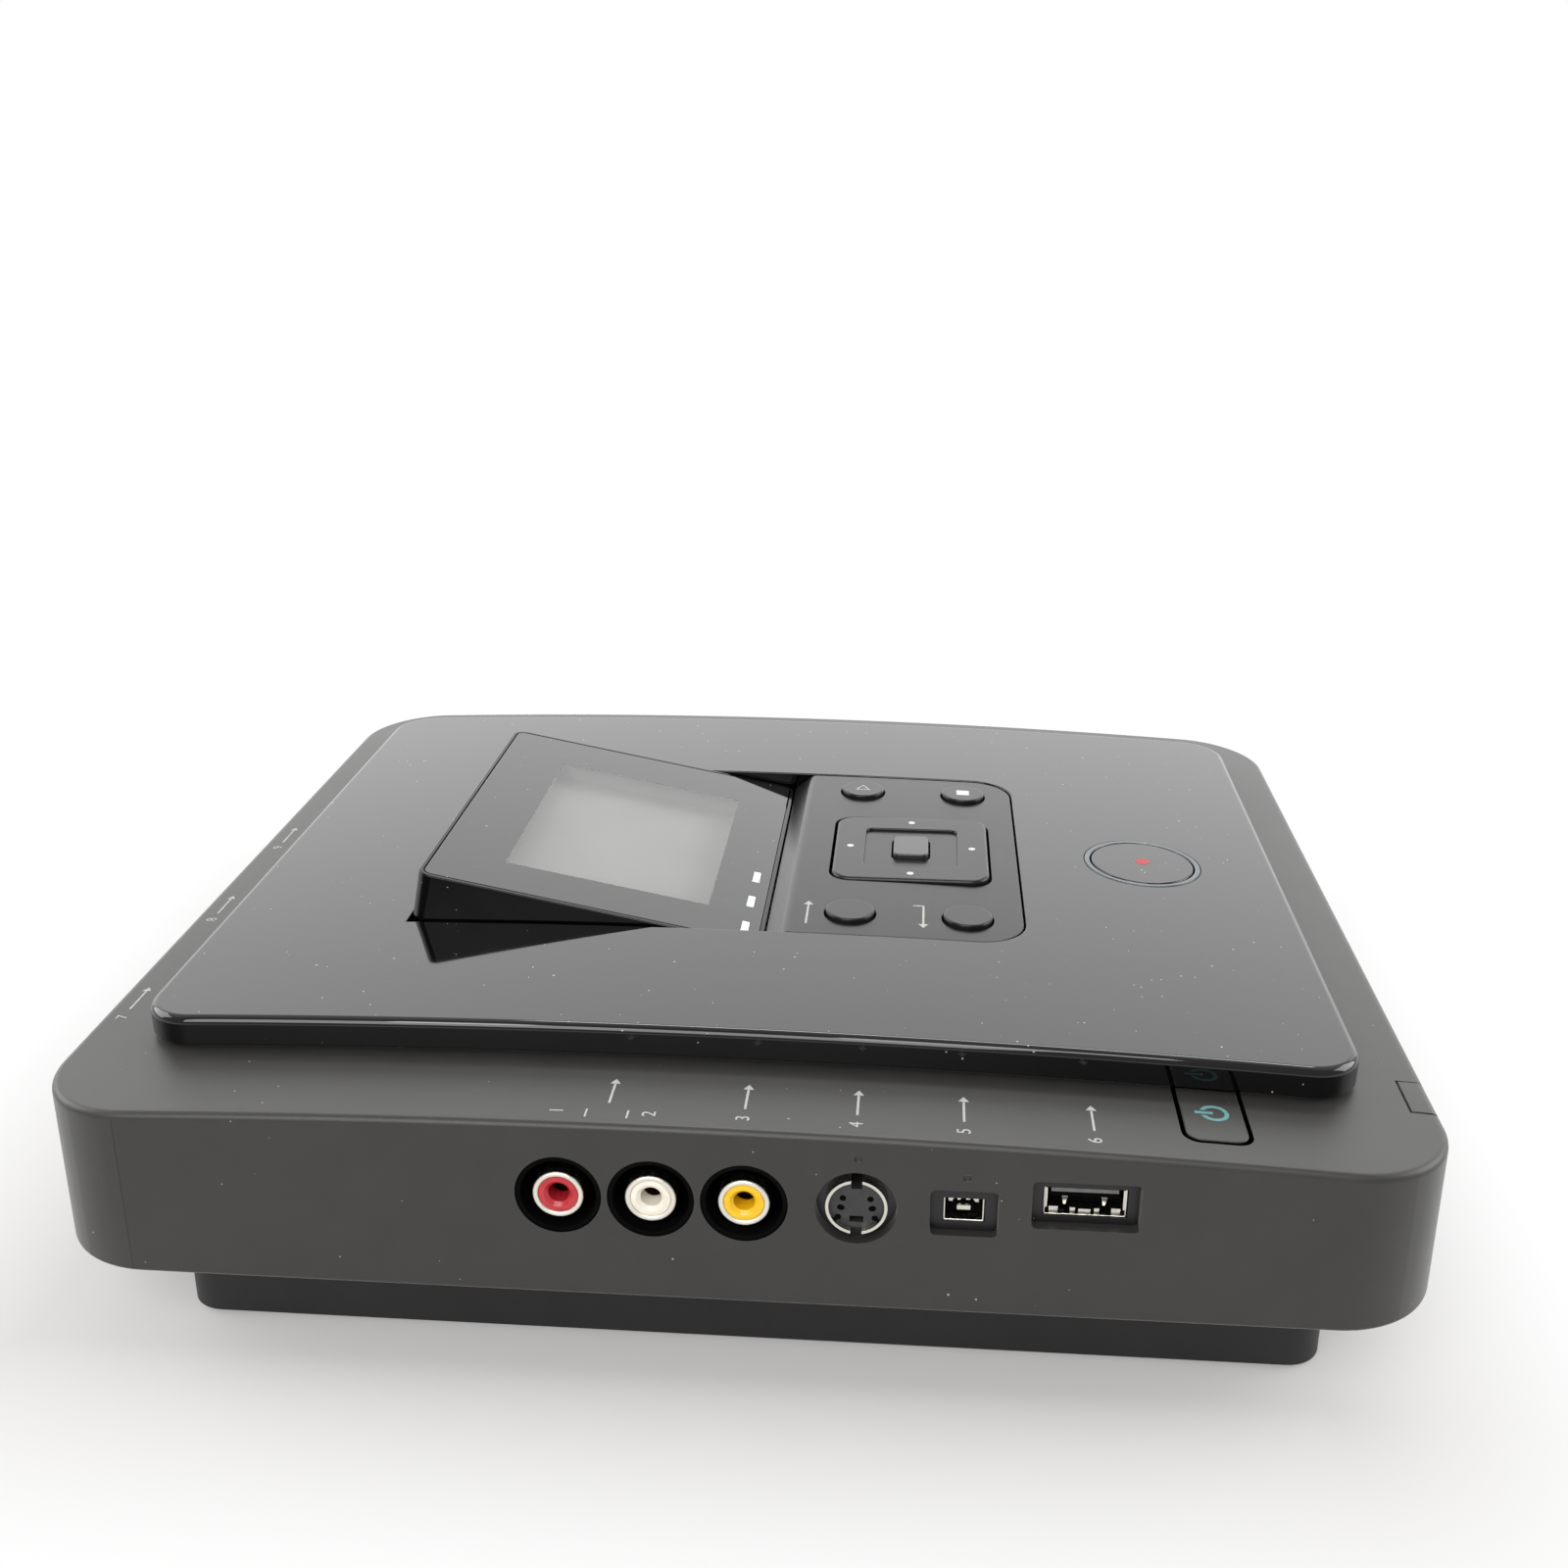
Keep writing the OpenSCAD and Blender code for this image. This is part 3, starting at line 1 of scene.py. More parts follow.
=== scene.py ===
# %% [markdown]
# # A desktop disc recorder, dressed for its picture
# The recorder is a low charcoal box with a crowned gloss lid. A tilted display and a small control
# panel lie in the lid, a row of input sockets is in its left side and a disc tray in its front.
# The CAD model gives every piece its place. Here the pieces that show get rounded edges, moulded
# detail and procedural finishes, one step at a time.

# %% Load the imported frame
import json
import math

import bpy
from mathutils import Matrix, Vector


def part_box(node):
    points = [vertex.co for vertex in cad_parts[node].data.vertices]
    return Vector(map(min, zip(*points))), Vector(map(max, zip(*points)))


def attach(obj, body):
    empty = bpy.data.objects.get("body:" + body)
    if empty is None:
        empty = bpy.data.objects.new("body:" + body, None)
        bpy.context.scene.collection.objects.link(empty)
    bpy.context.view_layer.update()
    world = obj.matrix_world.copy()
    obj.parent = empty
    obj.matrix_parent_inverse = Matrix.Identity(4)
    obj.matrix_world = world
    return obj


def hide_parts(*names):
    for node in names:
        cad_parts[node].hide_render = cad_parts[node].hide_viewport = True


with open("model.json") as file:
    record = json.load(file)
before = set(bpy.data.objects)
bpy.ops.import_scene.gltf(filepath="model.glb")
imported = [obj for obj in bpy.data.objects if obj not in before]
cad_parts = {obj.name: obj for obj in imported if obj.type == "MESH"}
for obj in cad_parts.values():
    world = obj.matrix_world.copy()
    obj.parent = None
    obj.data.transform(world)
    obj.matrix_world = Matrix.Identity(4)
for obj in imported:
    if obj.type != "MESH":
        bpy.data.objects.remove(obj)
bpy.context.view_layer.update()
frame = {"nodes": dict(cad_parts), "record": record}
nodes = frame["nodes"]

# %% [markdown]
# ## Working in millimetres
# Blender works in metres, but a maker thinks of this object in millimetres. The helpers below take
# millimetres and do what a hand does in the viewport: pick up an object, select faces or edges by
# their place, and run an operator. Everything is deselected first, because an operator acts on all
# that is selected.

# %% Selection and starting shapes
MM = 0.001


def put_down():
    if bpy.context.object and bpy.context.object.mode != "OBJECT":
        bpy.ops.object.mode_set(mode="OBJECT")
    bpy.ops.object.select_all(action="DESELECT")


def take(*objs):
    put_down()
    for obj in objs:
        obj.select_set(True)
    bpy.context.view_layer.objects.active = objs[0]
    return objs[0]


def settle(obj):
    """Puts an object's place, turn and size into its mesh."""
    take(obj)
    bpy.ops.object.transform_apply(location=True, rotation=True, scale=True)
    return obj


def start_box(name, low, high):
    """A box between two corners."""
    put_down()
    low, high = Vector(low), Vector(high)
    bpy.ops.mesh.primitive_cube_add(size=1, location=(low + high) / 2 * MM)
    obj = bpy.context.object
    obj.name = name
    obj.scale = (high - low) * MM
    return settle(obj)


def start_drum(name, radius, start, end, sides=64, far_radius=None):
    """A round bar, or a cone, between two points."""
    put_down()
    start, end = Vector(start), Vector(end)
    axis = end - start
    bpy.ops.mesh.primitive_cone_add(
        vertices=sides, radius1=radius * MM, radius2=(far_radius or radius) * MM,
        depth=axis.length * MM, location=(start + end) / 2 * MM,
        rotation=axis.to_track_quat("Z", "Y").to_euler())
    obj = bpy.context.object
    obj.name = name
    return settle(obj)


def pick(obj, kind, test):
    """Goes into edit mode with the faces or edges selected whose middle and direction pass a test."""
    take(obj)
    bpy.ops.object.mode_set(mode="EDIT")
    bpy.ops.mesh.select_mode(type=kind)
    bpy.ops.mesh.select_all(action="DESELECT")
    bpy.ops.object.mode_set(mode="OBJECT")
    mesh = obj.data
    if kind == "FACE":
        for face in mesh.polygons:
            face.select = bool(test(face.center / MM, face.normal))
    else:
        for edge in mesh.edges:
            a, b = (mesh.vertices[i].co for i in edge.vertices)
            edge.select = bool(test((a + b) / 2 / MM, (b - a).normalized()))
    bpy.ops.object.mode_set(mode="EDIT")
    return obj


print("helpers ready, 1 unit =", 1 / MM, "mm")

# %% Tests for picking
# A test gets the middle of a face or edge in millimetres, and its normal or direction.
HAIR = 0.01
STRAIGHT = 0.9


def everything(m, d):
    return True


def upright(m, d):
    return abs(d.z) > STRAIGHT


def lengthwise(m, d):
    return abs(d.x) > STRAIGHT


def faces_up(m, n):
    return n.z > STRAIGHT


def faces_down(m, n):
    return n.z < -STRAIGHT


def at_top(z):
    return lambda m, d: m.z > z - HAIR


def at_bottom(z):
    return lambda m, d: m.z < z + HAIR


def hub(x, y, way):
    """The flat face on an upright axis that looks up, with way 1, or down, with way -1."""
    return lambda m, n: n.z * way > STRAIGHT and math.hypot(m.x - x, m.y - y) < HAIR


print("a direction counts as straight within", round(math.degrees(math.acos(STRAIGHT))), "degrees")

# %% Shaping in edit mode


def round_edges(obj, test, radius, steps):
    pick(obj, "EDGE", test)
    bpy.ops.mesh.bevel(offset=radius * MM, offset_type="OFFSET", segments=steps, profile=0.5,
                       affect="EDGES", clamp_overlap=False)
    put_down()
    return obj


def sink(obj, test, margin, depth=0.0):
    """Insets the picked face by a margin and moves it along its own normal."""
    pick(obj, "FACE", test)
    bpy.ops.mesh.inset(thickness=margin * MM, depth=depth * MM)
    put_down()


def pull(obj, test, move):
    """Extrudes the picked faces by a move."""
    pick(obj, "FACE", test)
    bpy.ops.mesh.extrude_region_move(TRANSFORM_OT_translate={"value": Vector(move) * MM})
    put_down()


def slice_at(obj, place, direction):
    """Cuts new edges where a plane meets the mesh."""
    pick(obj, "FACE", everything)
    bpy.ops.mesh.bisect(plane_co=[c * MM for c in place], plane_no=direction)
    put_down()


def join(*objs, name=None):
    """Makes several pieces one; the first one leads."""
    take(*objs)
    if len(objs) > 1:
        bpy.ops.object.join()
    if name:
        objs[0].name = name
    return objs[0]


def carve(obj, *tools, operation="DIFFERENCE"):
    """Cuts tools out of a piece, or adds them to it, and throws the tools away."""
    tool = join(*tools)
    change = obj.modifiers.new("carve", "BOOLEAN")
    change.operation = operation
    change.solver = "EXACT"
    change.object = tool
    take(obj)
    bpy.ops.object.modifier_apply(modifier=change.name)
    bpy.data.objects.remove(tool)
    return obj


def smooth(obj, angle=40):
    """Smooth shading with sharp creases, and flat faces that stay flat beside their rounded edges."""
    take(obj)
    bpy.ops.object.shade_smooth_by_angle(angle=math.radians(angle))
    normals = obj.modifiers.new("normals", "WEIGHTED_NORMAL")
    normals.keep_sharp = True
    bpy.ops.object.modifier_apply(modifier=normals.name)
    return obj


def rounded_block(name, low, high, corner, steps):
    """A box whose upright edges are rounded."""
    return round_edges(start_box(name, low, high), upright, corner, steps)


def plate(name, half_x, half_y, low, high, corner, steps, y=0):
    """A rounded block between two heights, centred across the object at a depth."""
    return rounded_block(name, (-half_x, y - half_y, low), (half_x, y + half_y, high), corner, steps)


def front_rounded(name, half, front, back, low, high, corner):
    """A box whose two upright front edges are rounded."""
    obj = start_box(name, (-half, front, low), (half, back, high))
    return round_edges(obj, lambda m, d: upright(m, d) and m.y < front + HAIR, corner, 10)


print("shaping helpers ready in", bpy.context.mode, "mode")

# %% [markdown]
# ## The crown
# The top of the case is not flat: it is part of a very large cylinder, so it falls a few millimetres
# towards the front. A flat top could be bent with a modifier, but cutting it into strips with bisect
# and lowering each point by the height that the cylinder loses there is exact, and the lid, panel and
# buttons can all use the same rule.

# %% Crown helpers
CROWN_R, CROWN_BACK = 2000, 15
CASE_TOP = 50.7


def crown_drop(y):
    return CROWN_R - math.sqrt(CROWN_R ** 2 - (y - CROWN_BACK) ** 2)


def crown_z(y, rise):
    return CASE_TOP + rise - crown_drop(y)


def follow_crown(obj, above=0.0, front=0, back=0, strip=6):
    """Cuts strips between two depths, then lowers every point above a height onto the crown."""
    y = front
    while y < back:
        slice_at(obj, (0, y, 0), (0, 1, 0))
        y += strip
    for point in obj.data.vertices:
        if point.co.z / MM > above:
            point.co.z -= crown_drop(point.co.y / MM) * MM


print("crown falls", round(crown_drop(-116), 2), "mm in front,", round(crown_drop(116), 2), "behind")

# %% [markdown]
# ## Materials
# Nearly all of the recorder is moulded ABS or acrylic. What tells the parts apart is the surface of
# the mould: the case came from a spark-eroded mould and has a fine matt grain, the panel and keys are
# satin, and the lid and display are polished. So each finish starts from a colour, an IOR of about
# 1.5 and a roughness, and gets grain, mottling or dust from noise measured in millimetres.

# %% Colour and node helpers


def linear(code):
    """An sRGB hex colour as linear red, green, blue and alpha."""
    parts = [int(code[i:i + 2], 16) / 255 for i in (1, 3, 5)]
    return [c / 12.92 if c <= 0.04045 else ((c + 0.055) / 1.055) ** 2.4 for c in parts] + [1.0]


def add_node(tree, kind, settings=(), links=()):
    """Adds a node, sets its options and input values, and links sources to its inputs."""
    node = tree.nodes.new(kind)
    for name, value in dict(settings).items():
        if isinstance(name, int) or name in node.inputs:
            node.inputs[name].default_value = value
        else:
            setattr(node, name, value)
    for name, source in dict(links).items():
        tree.links.new(source, node.inputs[name])
    return node


def start_material(name, colour, roughness, **settings):
    """A Principled material; returns it with its tree, its shader and the Object coordinates."""
    material = bpy.data.materials.new(name)
    material.use_nodes = True
    tree = material.node_tree
    shader = tree.nodes["Principled BSDF"]
    shader.inputs["Base Color"].default_value = linear(colour)
    shader.inputs["Roughness"].default_value = roughness
    for socket, value in settings.items():
        shader.inputs[socket.replace("_", " ")].default_value = value
    place = add_node(tree, "ShaderNodeTexCoord").outputs["Object"]
    return material, tree, shader, place


def per_mm(size):
    """The noise scale whose features are about so many millimetres wide."""
    return 1 / (size * MM)


print("linear mid grey:", [round(c, 3) for c in linear("#808080")[:3]])

# %% What gives a finish its life
# Noise mostly stays between 0.3 and 0.7, so the ranges below start and end inside that.


def mottle(tree, shader, place, dark, light, size, detail=3.0):
    """Lets the base colour wander between two colours over patches of a size."""
    cloud = add_node(tree, "ShaderNodeTexNoise", {"Scale": per_mm(size), "Detail": detail},
                     {"Vector": place})
    ramp = add_node(tree, "ShaderNodeValToRGB", {}, {"Fac": cloud.outputs["Fac"]})
    for stop, position, colour in zip(ramp.color_ramp.elements, (0.35, 0.65), (dark, light)):
        stop.position = position
        stop.color = linear(colour)
    tree.links.new(ramp.outputs["Color"], shader.inputs["Base Color"])
    return ramp.outputs["Color"]


def dust(tree, shader, place, under, size, radius, colour):
    """Pale specks of up to a radius here and there over a colour, about one in a cell of a size."""
    cells = add_node(tree, "ShaderNodeTexVoronoi", {"Scale": per_mm(size), "Randomness": 1.0},
                     {"Vector": place})
    patches = add_node(tree, "ShaderNodeTexNoise", {"Scale": per_mm(size * 4), "Detail": 2.0},
                       {"Vector": place})
    reach = add_node(tree, "ShaderNodeMapRange",
                     {"From Min": 0.38, "From Max": 0.7, "To Min": 0.0, "To Max": radius / size},
                     {"Value": patches.outputs["Fac"]})
    speck = add_node(tree, "ShaderNodeMath", {"operation": "LESS_THAN"},
                     {0: cells.outputs["Distance"], 1: reach.outputs["Result"]})
    mix = add_node(tree, "ShaderNodeMix", {"data_type": "RGBA", 7: linear(colour)},
                   {0: speck.outputs["Value"], 6: under})
    tree.links.new(mix.outputs[2], shader.inputs["Base Color"])


def vary_roughness(tree, shader, place, low, high, size):
    """Lets the polish wander between two roughnesses over patches of a size."""
    cloud = add_node(tree, "ShaderNodeTexNoise", {"Scale": per_mm(size), "Detail": 4.0},
                     {"Vector": place})
    reach = add_node(tree, "ShaderNodeMapRange",
                     {"From Min": 0.3, "From Max": 0.7, "To Min": low, "To Max": high},
                     {"Value": cloud.outputs["Fac"]})
    tree.links.new(reach.outputs["Result"], shader.inputs["Roughness"])


def grain(tree, shader, place, size, height, strength):
    """A fine bump of a grain size and a height, as a moulded or cast surface has."""
    noise = add_node(tree, "ShaderNodeTexNoise", {"Scale": per_mm(size), "Detail": 2.0},
                     {"Vector": place})
    bump = add_node(tree, "ShaderNodeBump", {"Strength": strength, "Distance": height * MM},
                    {"Height": noise.outputs["Fac"]})
    tree.links.new(bump.outputs["Normal"], shader.inputs["Normal"])


def make_finish(name, colour, roughness, patches=None, specks=None, polish=None, bumps=None, **settings):
    """A Principled finish with mottled patches, dust specks, uneven polish and grain, where given."""
    material, tree, shader, place = start_material(name, colour, roughness, **settings)
    if patches:
        under = mottle(tree, shader, place, *patches)
    if specks:
        dust(tree, shader, place, under, *specks)
    if polish:
        vary_roughness(tree, shader, place, *polish)
    if bumps:
        grain(tree, shader, place, *bumps)
    return material


print("a grain of 0.4 mm has a noise scale of", round(per_mm(0.4)))

# %% Case plastics
# Charcoal ABS from a spark-eroded mould: matt, with a grain of a few tenths of a millimetre that
# breaks the highlights up. The grain is drawn a little coarser than the real one so that it shows,
# and a little sheen gives the pale edge that such a surface has where it turns away.
charcoal_abs = make_finish("charcoal_abs", "#2f2e2c", 0.42, patches=("#2d2c2a", "#302f2d", 9),
                           specks=(3.4, 0.22, "#a9a7a2"), bumps=(0.4, 0.03, 0.22), IOR=1.5,
                           Sheen_Weight=0.22, Sheen_Roughness=0.35)
# Black ABS of the bottom cover, duller and with a slightly deeper grain
black_abs = make_finish("black_abs", "#1a191a", 0.52, patches=("#181718", "#1d1c1d", 14),
                        bumps=(0.5, 0.04, 0.4), IOR=1.5)
# Piano-gloss acrylic: nearly black, mirror smooth, with dust specks and a polish that is not quite even
gloss_acrylic = make_finish("gloss_acrylic", "#070708", 0.05, patches=("#060607", "#090909", 30),
                            specks=(2.4, 0.22, "#b5b4b1"), polish=(0.03, 0.08, 22), IOR=1.54)
# Polished black ABS of the display housing: the same depth of black, with a weaker reflection
rim_abs = make_finish("polished_rim_abs", "#060606", 0.08, patches=("#050505", "#080808", 12),
                      specks=(3, 0.2, "#9d9c99"), polish=(0.06, 0.14, 9), IOR=1.32)
# Satin ABS of the control panel, of the keys, and of the paler enter key: a soft, wide highlight
satin_abs = make_finish("satin_abs", "#1d1d1e", 0.22, patches=("#1b1b1c", "#202021", 7),
                        bumps=(0.35, 0.006, 0.25), IOR=1.36)
key_abs = make_finish("key_abs", "#1b1b1c", 0.26, patches=("#191919", "#1f1f20", 4),
                      bumps=(0.3, 0.006, 0.25), IOR=1.4)
enter_abs = make_finish("enter_key_abs", "#2a2a2b", 0.25, patches=("#272728", "#2e2e2f", 3),
                        bumps=(0.3, 0.006, 0.25), IOR=1.6)
case_plastics = (charcoal_abs, black_abs, gloss_acrylic, rim_abs, satin_abs, key_abs, enter_abs)
print("case plastics:", [m.name for m in case_plastics])

# %% [markdown]
# ## Display and light guides
# The window is clear acrylic, printed black behind its border. A glass shader would bend and darken
# the picture, so straight-through transparency gets a Fresnel gloss on its outer side: the picture
# stays bright and the window reflects as much as the lid does.

# %% Clear window
clear_acrylic = bpy.data.materials.new("clear_acrylic")
clear_acrylic.use_nodes = True
tree = clear_acrylic.node_tree
tree.nodes.remove(tree.nodes["Principled BSDF"])
fresnel = add_node(tree, "ShaderNodeFresnel", {"IOR": 1.52})
inner_side = add_node(tree, "ShaderNodeNewGeometry").outputs["Backfacing"]
gloss_share = add_node(tree, "ShaderNodeMix", {"data_type": "FLOAT", 3: 0.0},
                       {0: inner_side, 2: fresnel.outputs["Fac"]})
through = add_node(tree, "ShaderNodeBsdfTransparent", {"Color": linear("#fafafa")})
mirror = add_node(tree, "ShaderNodeBsdfGlossy", {"Color": linear("#ffffff"), "Roughness": 0.04})
window_mix = add_node(tree, "ShaderNodeMixShader", {},
                      {0: gloss_share.outputs[0], 1: through.outputs["BSDF"], 2: mirror.outputs["BSDF"]})
tree.links.new(window_mix.outputs["Shader"], tree.nodes["Material Output"].inputs["Surface"])
print(clear_acrylic.name, len(tree.nodes), "nodes")

# %% Display layers and light guides
# Screen print, display layer and frame lie bonded behind the window and have no gloss of their own
# The same glossless black also paints shade into slots, wells, socket tongues and round video holes.
black_print_and_shade = make_finish("black_print_and_painted_shade", "#0d0d0e", 0.5, patches=("#0c0c0d", "#101011", 12),
                          Specular_IOR_Level=0.0)
lcd_grey = make_finish("display_layer_grey", "#979794", 0.35, patches=("#949491", "#9a9a97", 20),
                       Specular_IOR_Level=0.0)
lcd_wall = make_finish("display_frame_grey", "#7d7d7b", 0.5, patches=("#7a7a78", "#80807e", 8),
                       Specular_IOR_Level=0.0)
# Milky polycarbonate of the indicators: white, with light that spreads a little inside
milky_guide = make_finish("milky_light_guide", "#eeeeeb", 0.3, patches=("#ebebe8", "#f2f2ef", 2), IOR=1.49,
                          Subsurface_Weight=0.2, Subsurface_Scale=0.001)
# Clear acrylic of the unlit record ring, grey because it shows the dark inside
ring_guide = make_finish("clear_ring_guide", "#565e63", 0.12, patches=("#515a5f", "#5d666b", 5), IOR=1.49)
print("display finishes:", [m.name for m in (black_print_and_shade, lcd_grey, lcd_wall, milky_guide, ring_guide)])

# %% Metals
# Bright nickel plate on the shells: a metal, so its colour is its reflection. The plating over
# drawn brass is not quite even, which a slow change of roughness gives.
nickel_plate = make_finish("nickel_plate", "#d6d2c8", 0.2, polish=(0.14, 0.3, 1.2),
                           bumps=(0.5, 0.004, 0.3), Metallic=1.0)
# The phono rims are turned and plated without a polish, so they look cream white and never dark
satin_nickel = make_finish("satin_nickel_plate", "#ece7da", 0.45, polish=(0.38, 0.55, 0.8),
                           bumps=(0.4, 0.006, 0.3), Metallic=1.0)
# Zinc-plated sheet is clouded, die-cast zinc is dull and pitted, old brass contacts are brown
zinc_sheet = make_finish("zinc_plated_sheet", "#a3a5a6", 0.35, polish=(0.28, 0.46, 4),
                         bumps=(1.5, 0.01, 0.3), Metallic=1.0)
sled_casting = make_finish("die_cast_zinc", "#80848a", 0.45, polish=(0.38, 0.55, 2),
                           bumps=(0.6, 0.03, 0.4), Metallic=1.0)
tarnished_brass = make_finish("tarnished_brass", "#8a6222", 0.4, polish=(0.3, 0.5, 1), Metallic=1.0)
print("metals:", [m.name for m in (nickel_plate, satin_nickel, zinc_sheet, sled_casting, tarnished_brass)])

# %% Drive and socket plastics
# Moulded grey ABS of the drive is matt, natural POM of its gears is waxy white, the coated lens is
# blue glass, solder mask is glossy green over uneven copper, and the feet are dull rubber.
drive_abs = make_finish("drive_grey_abs", "#3a3d40", 0.45, patches=("#373a3d", "#3e4144", 8),
                        bumps=(0.4, 0.02, 0.3), IOR=1.52)
natural_pom = make_finish("natural_pom", "#e3e3df", 0.38, patches=("#dfdfda", "#e8e8e4", 5),
                          bumps=(0.4, 0.01, 0.2), IOR=1.48)
coated_lens = make_finish("coated_lens", "#8fa7b5", 0.04, polish=(0.02, 0.06, 2), IOR=1.52,
                          Transmission_Weight=0.6)
solder_mask = make_finish("green_solder_mask", "#1f5a34", 0.3,
                          patches=("#1b5230", "#24633a", 3, 6.0), IOR=1.5)
foot_rubber = make_finish("black_rubber", "#1c1c1c", 0.75, patches=("#191919", "#212121", 3),
                          bumps=(0.3, 0.03, 0.5), IOR=1.5)
# Socket blocks and tongues are PBT or nylon, moulded without polish; dust stays in them
socket_pbt = make_finish("black_socket_pbt", "#0e0e0f", 0.42, patches=("#0c0c0d", "#101011", 3),
                         specks=(2, 0.16, "#8a8882"), IOR=1.5)
grey_pbt = make_finish("dark_grey_socket_pbt", "#303031", 0.4, patches=("#2c2c2d", "#353536", 1.5), IOR=1.5)
tongue_nylon = make_finish("grey_socket_nylon", "#72716f", 0.4,
                           patches=("#6d6c6a", "#787774", 1.5), IOR=1.52)
# The coloured insulators are glossy ABS, a little uneven in colour
phono_red = make_finish("phono_red_abs", "#bf2a34", 0.28, patches=("#b92630", "#c5303a", 2), IOR=1.53)
phono_cream = make_finish("phono_cream_abs", "#f7f2e2", 0.28, patches=("#f4eedd", "#faf6ea", 2), IOR=1.53)
phono_yellow = make_finish("phono_yellow_abs", "#fbc815", 0.28, patches=("#f8c20d", "#fdd024", 2), IOR=1.53)
# Pad-printed inks are thin and matt, with a slightly uneven edge of cover
inks = {}
for ink, shade, light in (("grey", "#b4b4b0", "#c2c2be"), ("white", "#dcdcd9", "#eaeae7"),
                          ("teal", "#5f9798", "#6ca5a5"), ("red", "#b3222c", "#c22d36")):
    inks[ink] = make_finish(ink + "_pad_print", shade, 0.5, patches=(shade, light, 0.6), IOR=1.48)
print("finishes made:", len(bpy.data.materials), "with inks", sorted(inks))

# %% [markdown]
# ## A finish for every CAD node
# Many inner pieces, such as the boards and the drive, keep their CAD shape. The record names a
# material slot for each node, so one table from slot to finish dresses them all. Pieces that are
# modelled anew below take their finish from the same table.

# %% Dress the CAD nodes
finishes = {
    "case_plastic": charcoal_abs, "base_plastic": black_abs, "lid_gloss": gloss_acrylic,
    "foot_rubber": foot_rubber, "zinc_steel": zinc_sheet, "panel_plastic": satin_abs,
    "key_plastic": key_abs, "pale_plastic": natural_pom, "light_ring": ring_guide,
    "circuit_board": solder_mask, "switch_metal": zinc_sheet, "display_glass": clear_acrylic,
    "display_panel": lcd_grey, "socket_black": socket_pbt, "nickel": nickel_plate,
    "red_plastic": phono_red, "white_plastic": phono_cream, "yellow_plastic": phono_yellow,
    "drive_plastic": drive_abs, "sled_metal": sled_casting, "lens_glass": coated_lens,
}
node_slot = {part["node"]: part["material_slot"] for part in frame["record"]["subparts"]}


def paint(obj, *materials, where=None):
    """Gives a piece its materials, and the second of them to the faces that pass a test."""
    obj.data.materials.clear()
    for material in materials:
        obj.data.materials.append(material)
    if where:
        for face in obj.data.polygons:
            face.material_index = int(where(face.center / MM, face.normal))


def hand_over(obj, body, slot, *stands_for):
    """The piece moves with a body, takes a slot's finish and stands for CAD nodes."""
    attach(obj, body)
    if stands_for:
        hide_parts(*stands_for)
    if not obj.data.materials:
        paint(obj, finishes[slot])
    print(obj.name, len(obj.data.polygons), "faces on", body)


for name, obj in nodes.items():
    paint(obj, finishes[node_slot[name]])
print("dressed", len(nodes), "nodes")

# %% [markdown]
# ## The case
# The case is a moulded shell: a box with big corner radii in plan, a small radius round its top and
# bottom edges and one wall thickness all round. A box with bevelled edges, minus a smaller box, is
# the quickest true shell. The raised seat that carries the lid is added, the crown follows, and then
# each opening is cut where the CAD has it.

# %% Case shell


def span(node):
    """The low and high corner of a CAD node."""
    low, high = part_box(node)
    return low / MM, high / MM


case_low, case_high = span("upper_case")
CASE_X, CASE_Y, CASE_Z = case_high.x, case_high.y, case_low.z
FACE = -CASE_X
WALL, CASE_CORNER = 2.4, 18
lid_high = span("top_lid")[1]
LID_X, LID_Y = lid_high.x, lid_high.y
LID_CORNER, LID_GAP, LID_RISE, SEAT_IN = 9.5, 0.9, 6.2, 1.4

case = plate("case_shell", CASE_X, CASE_Y, CASE_Z, CASE_TOP, CASE_CORNER, 18)
round_edges(case, at_top(CASE_TOP), 1.3, 4)
round_edges(case, at_bottom(CASE_Z), 0.8, 3)
carve(case, plate("seat", LID_X - SEAT_IN, LID_Y - SEAT_IN, 45, CASE_TOP + LID_GAP, LID_CORNER, 8),
      operation="UNION")
carve(case, plate("hollow", CASE_X - WALL, CASE_Y - WALL, CASE_Z - 2, CASE_TOP - WALL,
                  CASE_CORNER - WALL, 18))
follow_crown(case, 42, -114, 116, 6)
print("case shell:", len(case.data.polygons), "faces")

# %% Socket pockets in the left wall
# Two pockets with a floor take the digital sockets. Each is a sleeve on the wall's inside with a
# rounded recess cut into it and a mouth for the socket's shell.
JACK_Z = 37.5
PHONO_Y, PHONO_HOLE = (26.6, 11.6, -3.4), 7
SVIDEO_Y, SVIDEO_HOLE = -21.3, 6.45
POCKET_DEPTH, POCKET_WALL = 3.2, 1.2
POCKETS = {
    "small": {"y": -38.3, "z": 37.5, "w": 10.7, "h": 8.3, "mouth_z": 37.1, "mouth_w": 7.4, "mouth_h": 5.4,
              "shell_w": 6.6, "shell_h": 4.6, "cover": 0.3},
    "large": {"y": -57.3, "z": 39.7, "w": 16.9, "h": 8.6, "mouth_z": 39.3, "mouth_w": 14.0, "mouth_h": 6.6,
              "shell_w": 13.2, "shell_h": 5.8, "cover": 0.75},
}


def beam(name, x0, x1, y, z, w, h):
    """A box along X, centred on a socket's axis."""
    return start_box(name, (x0, y - w / 2, z - h / 2), (x1, y + w / 2, z + h / 2))


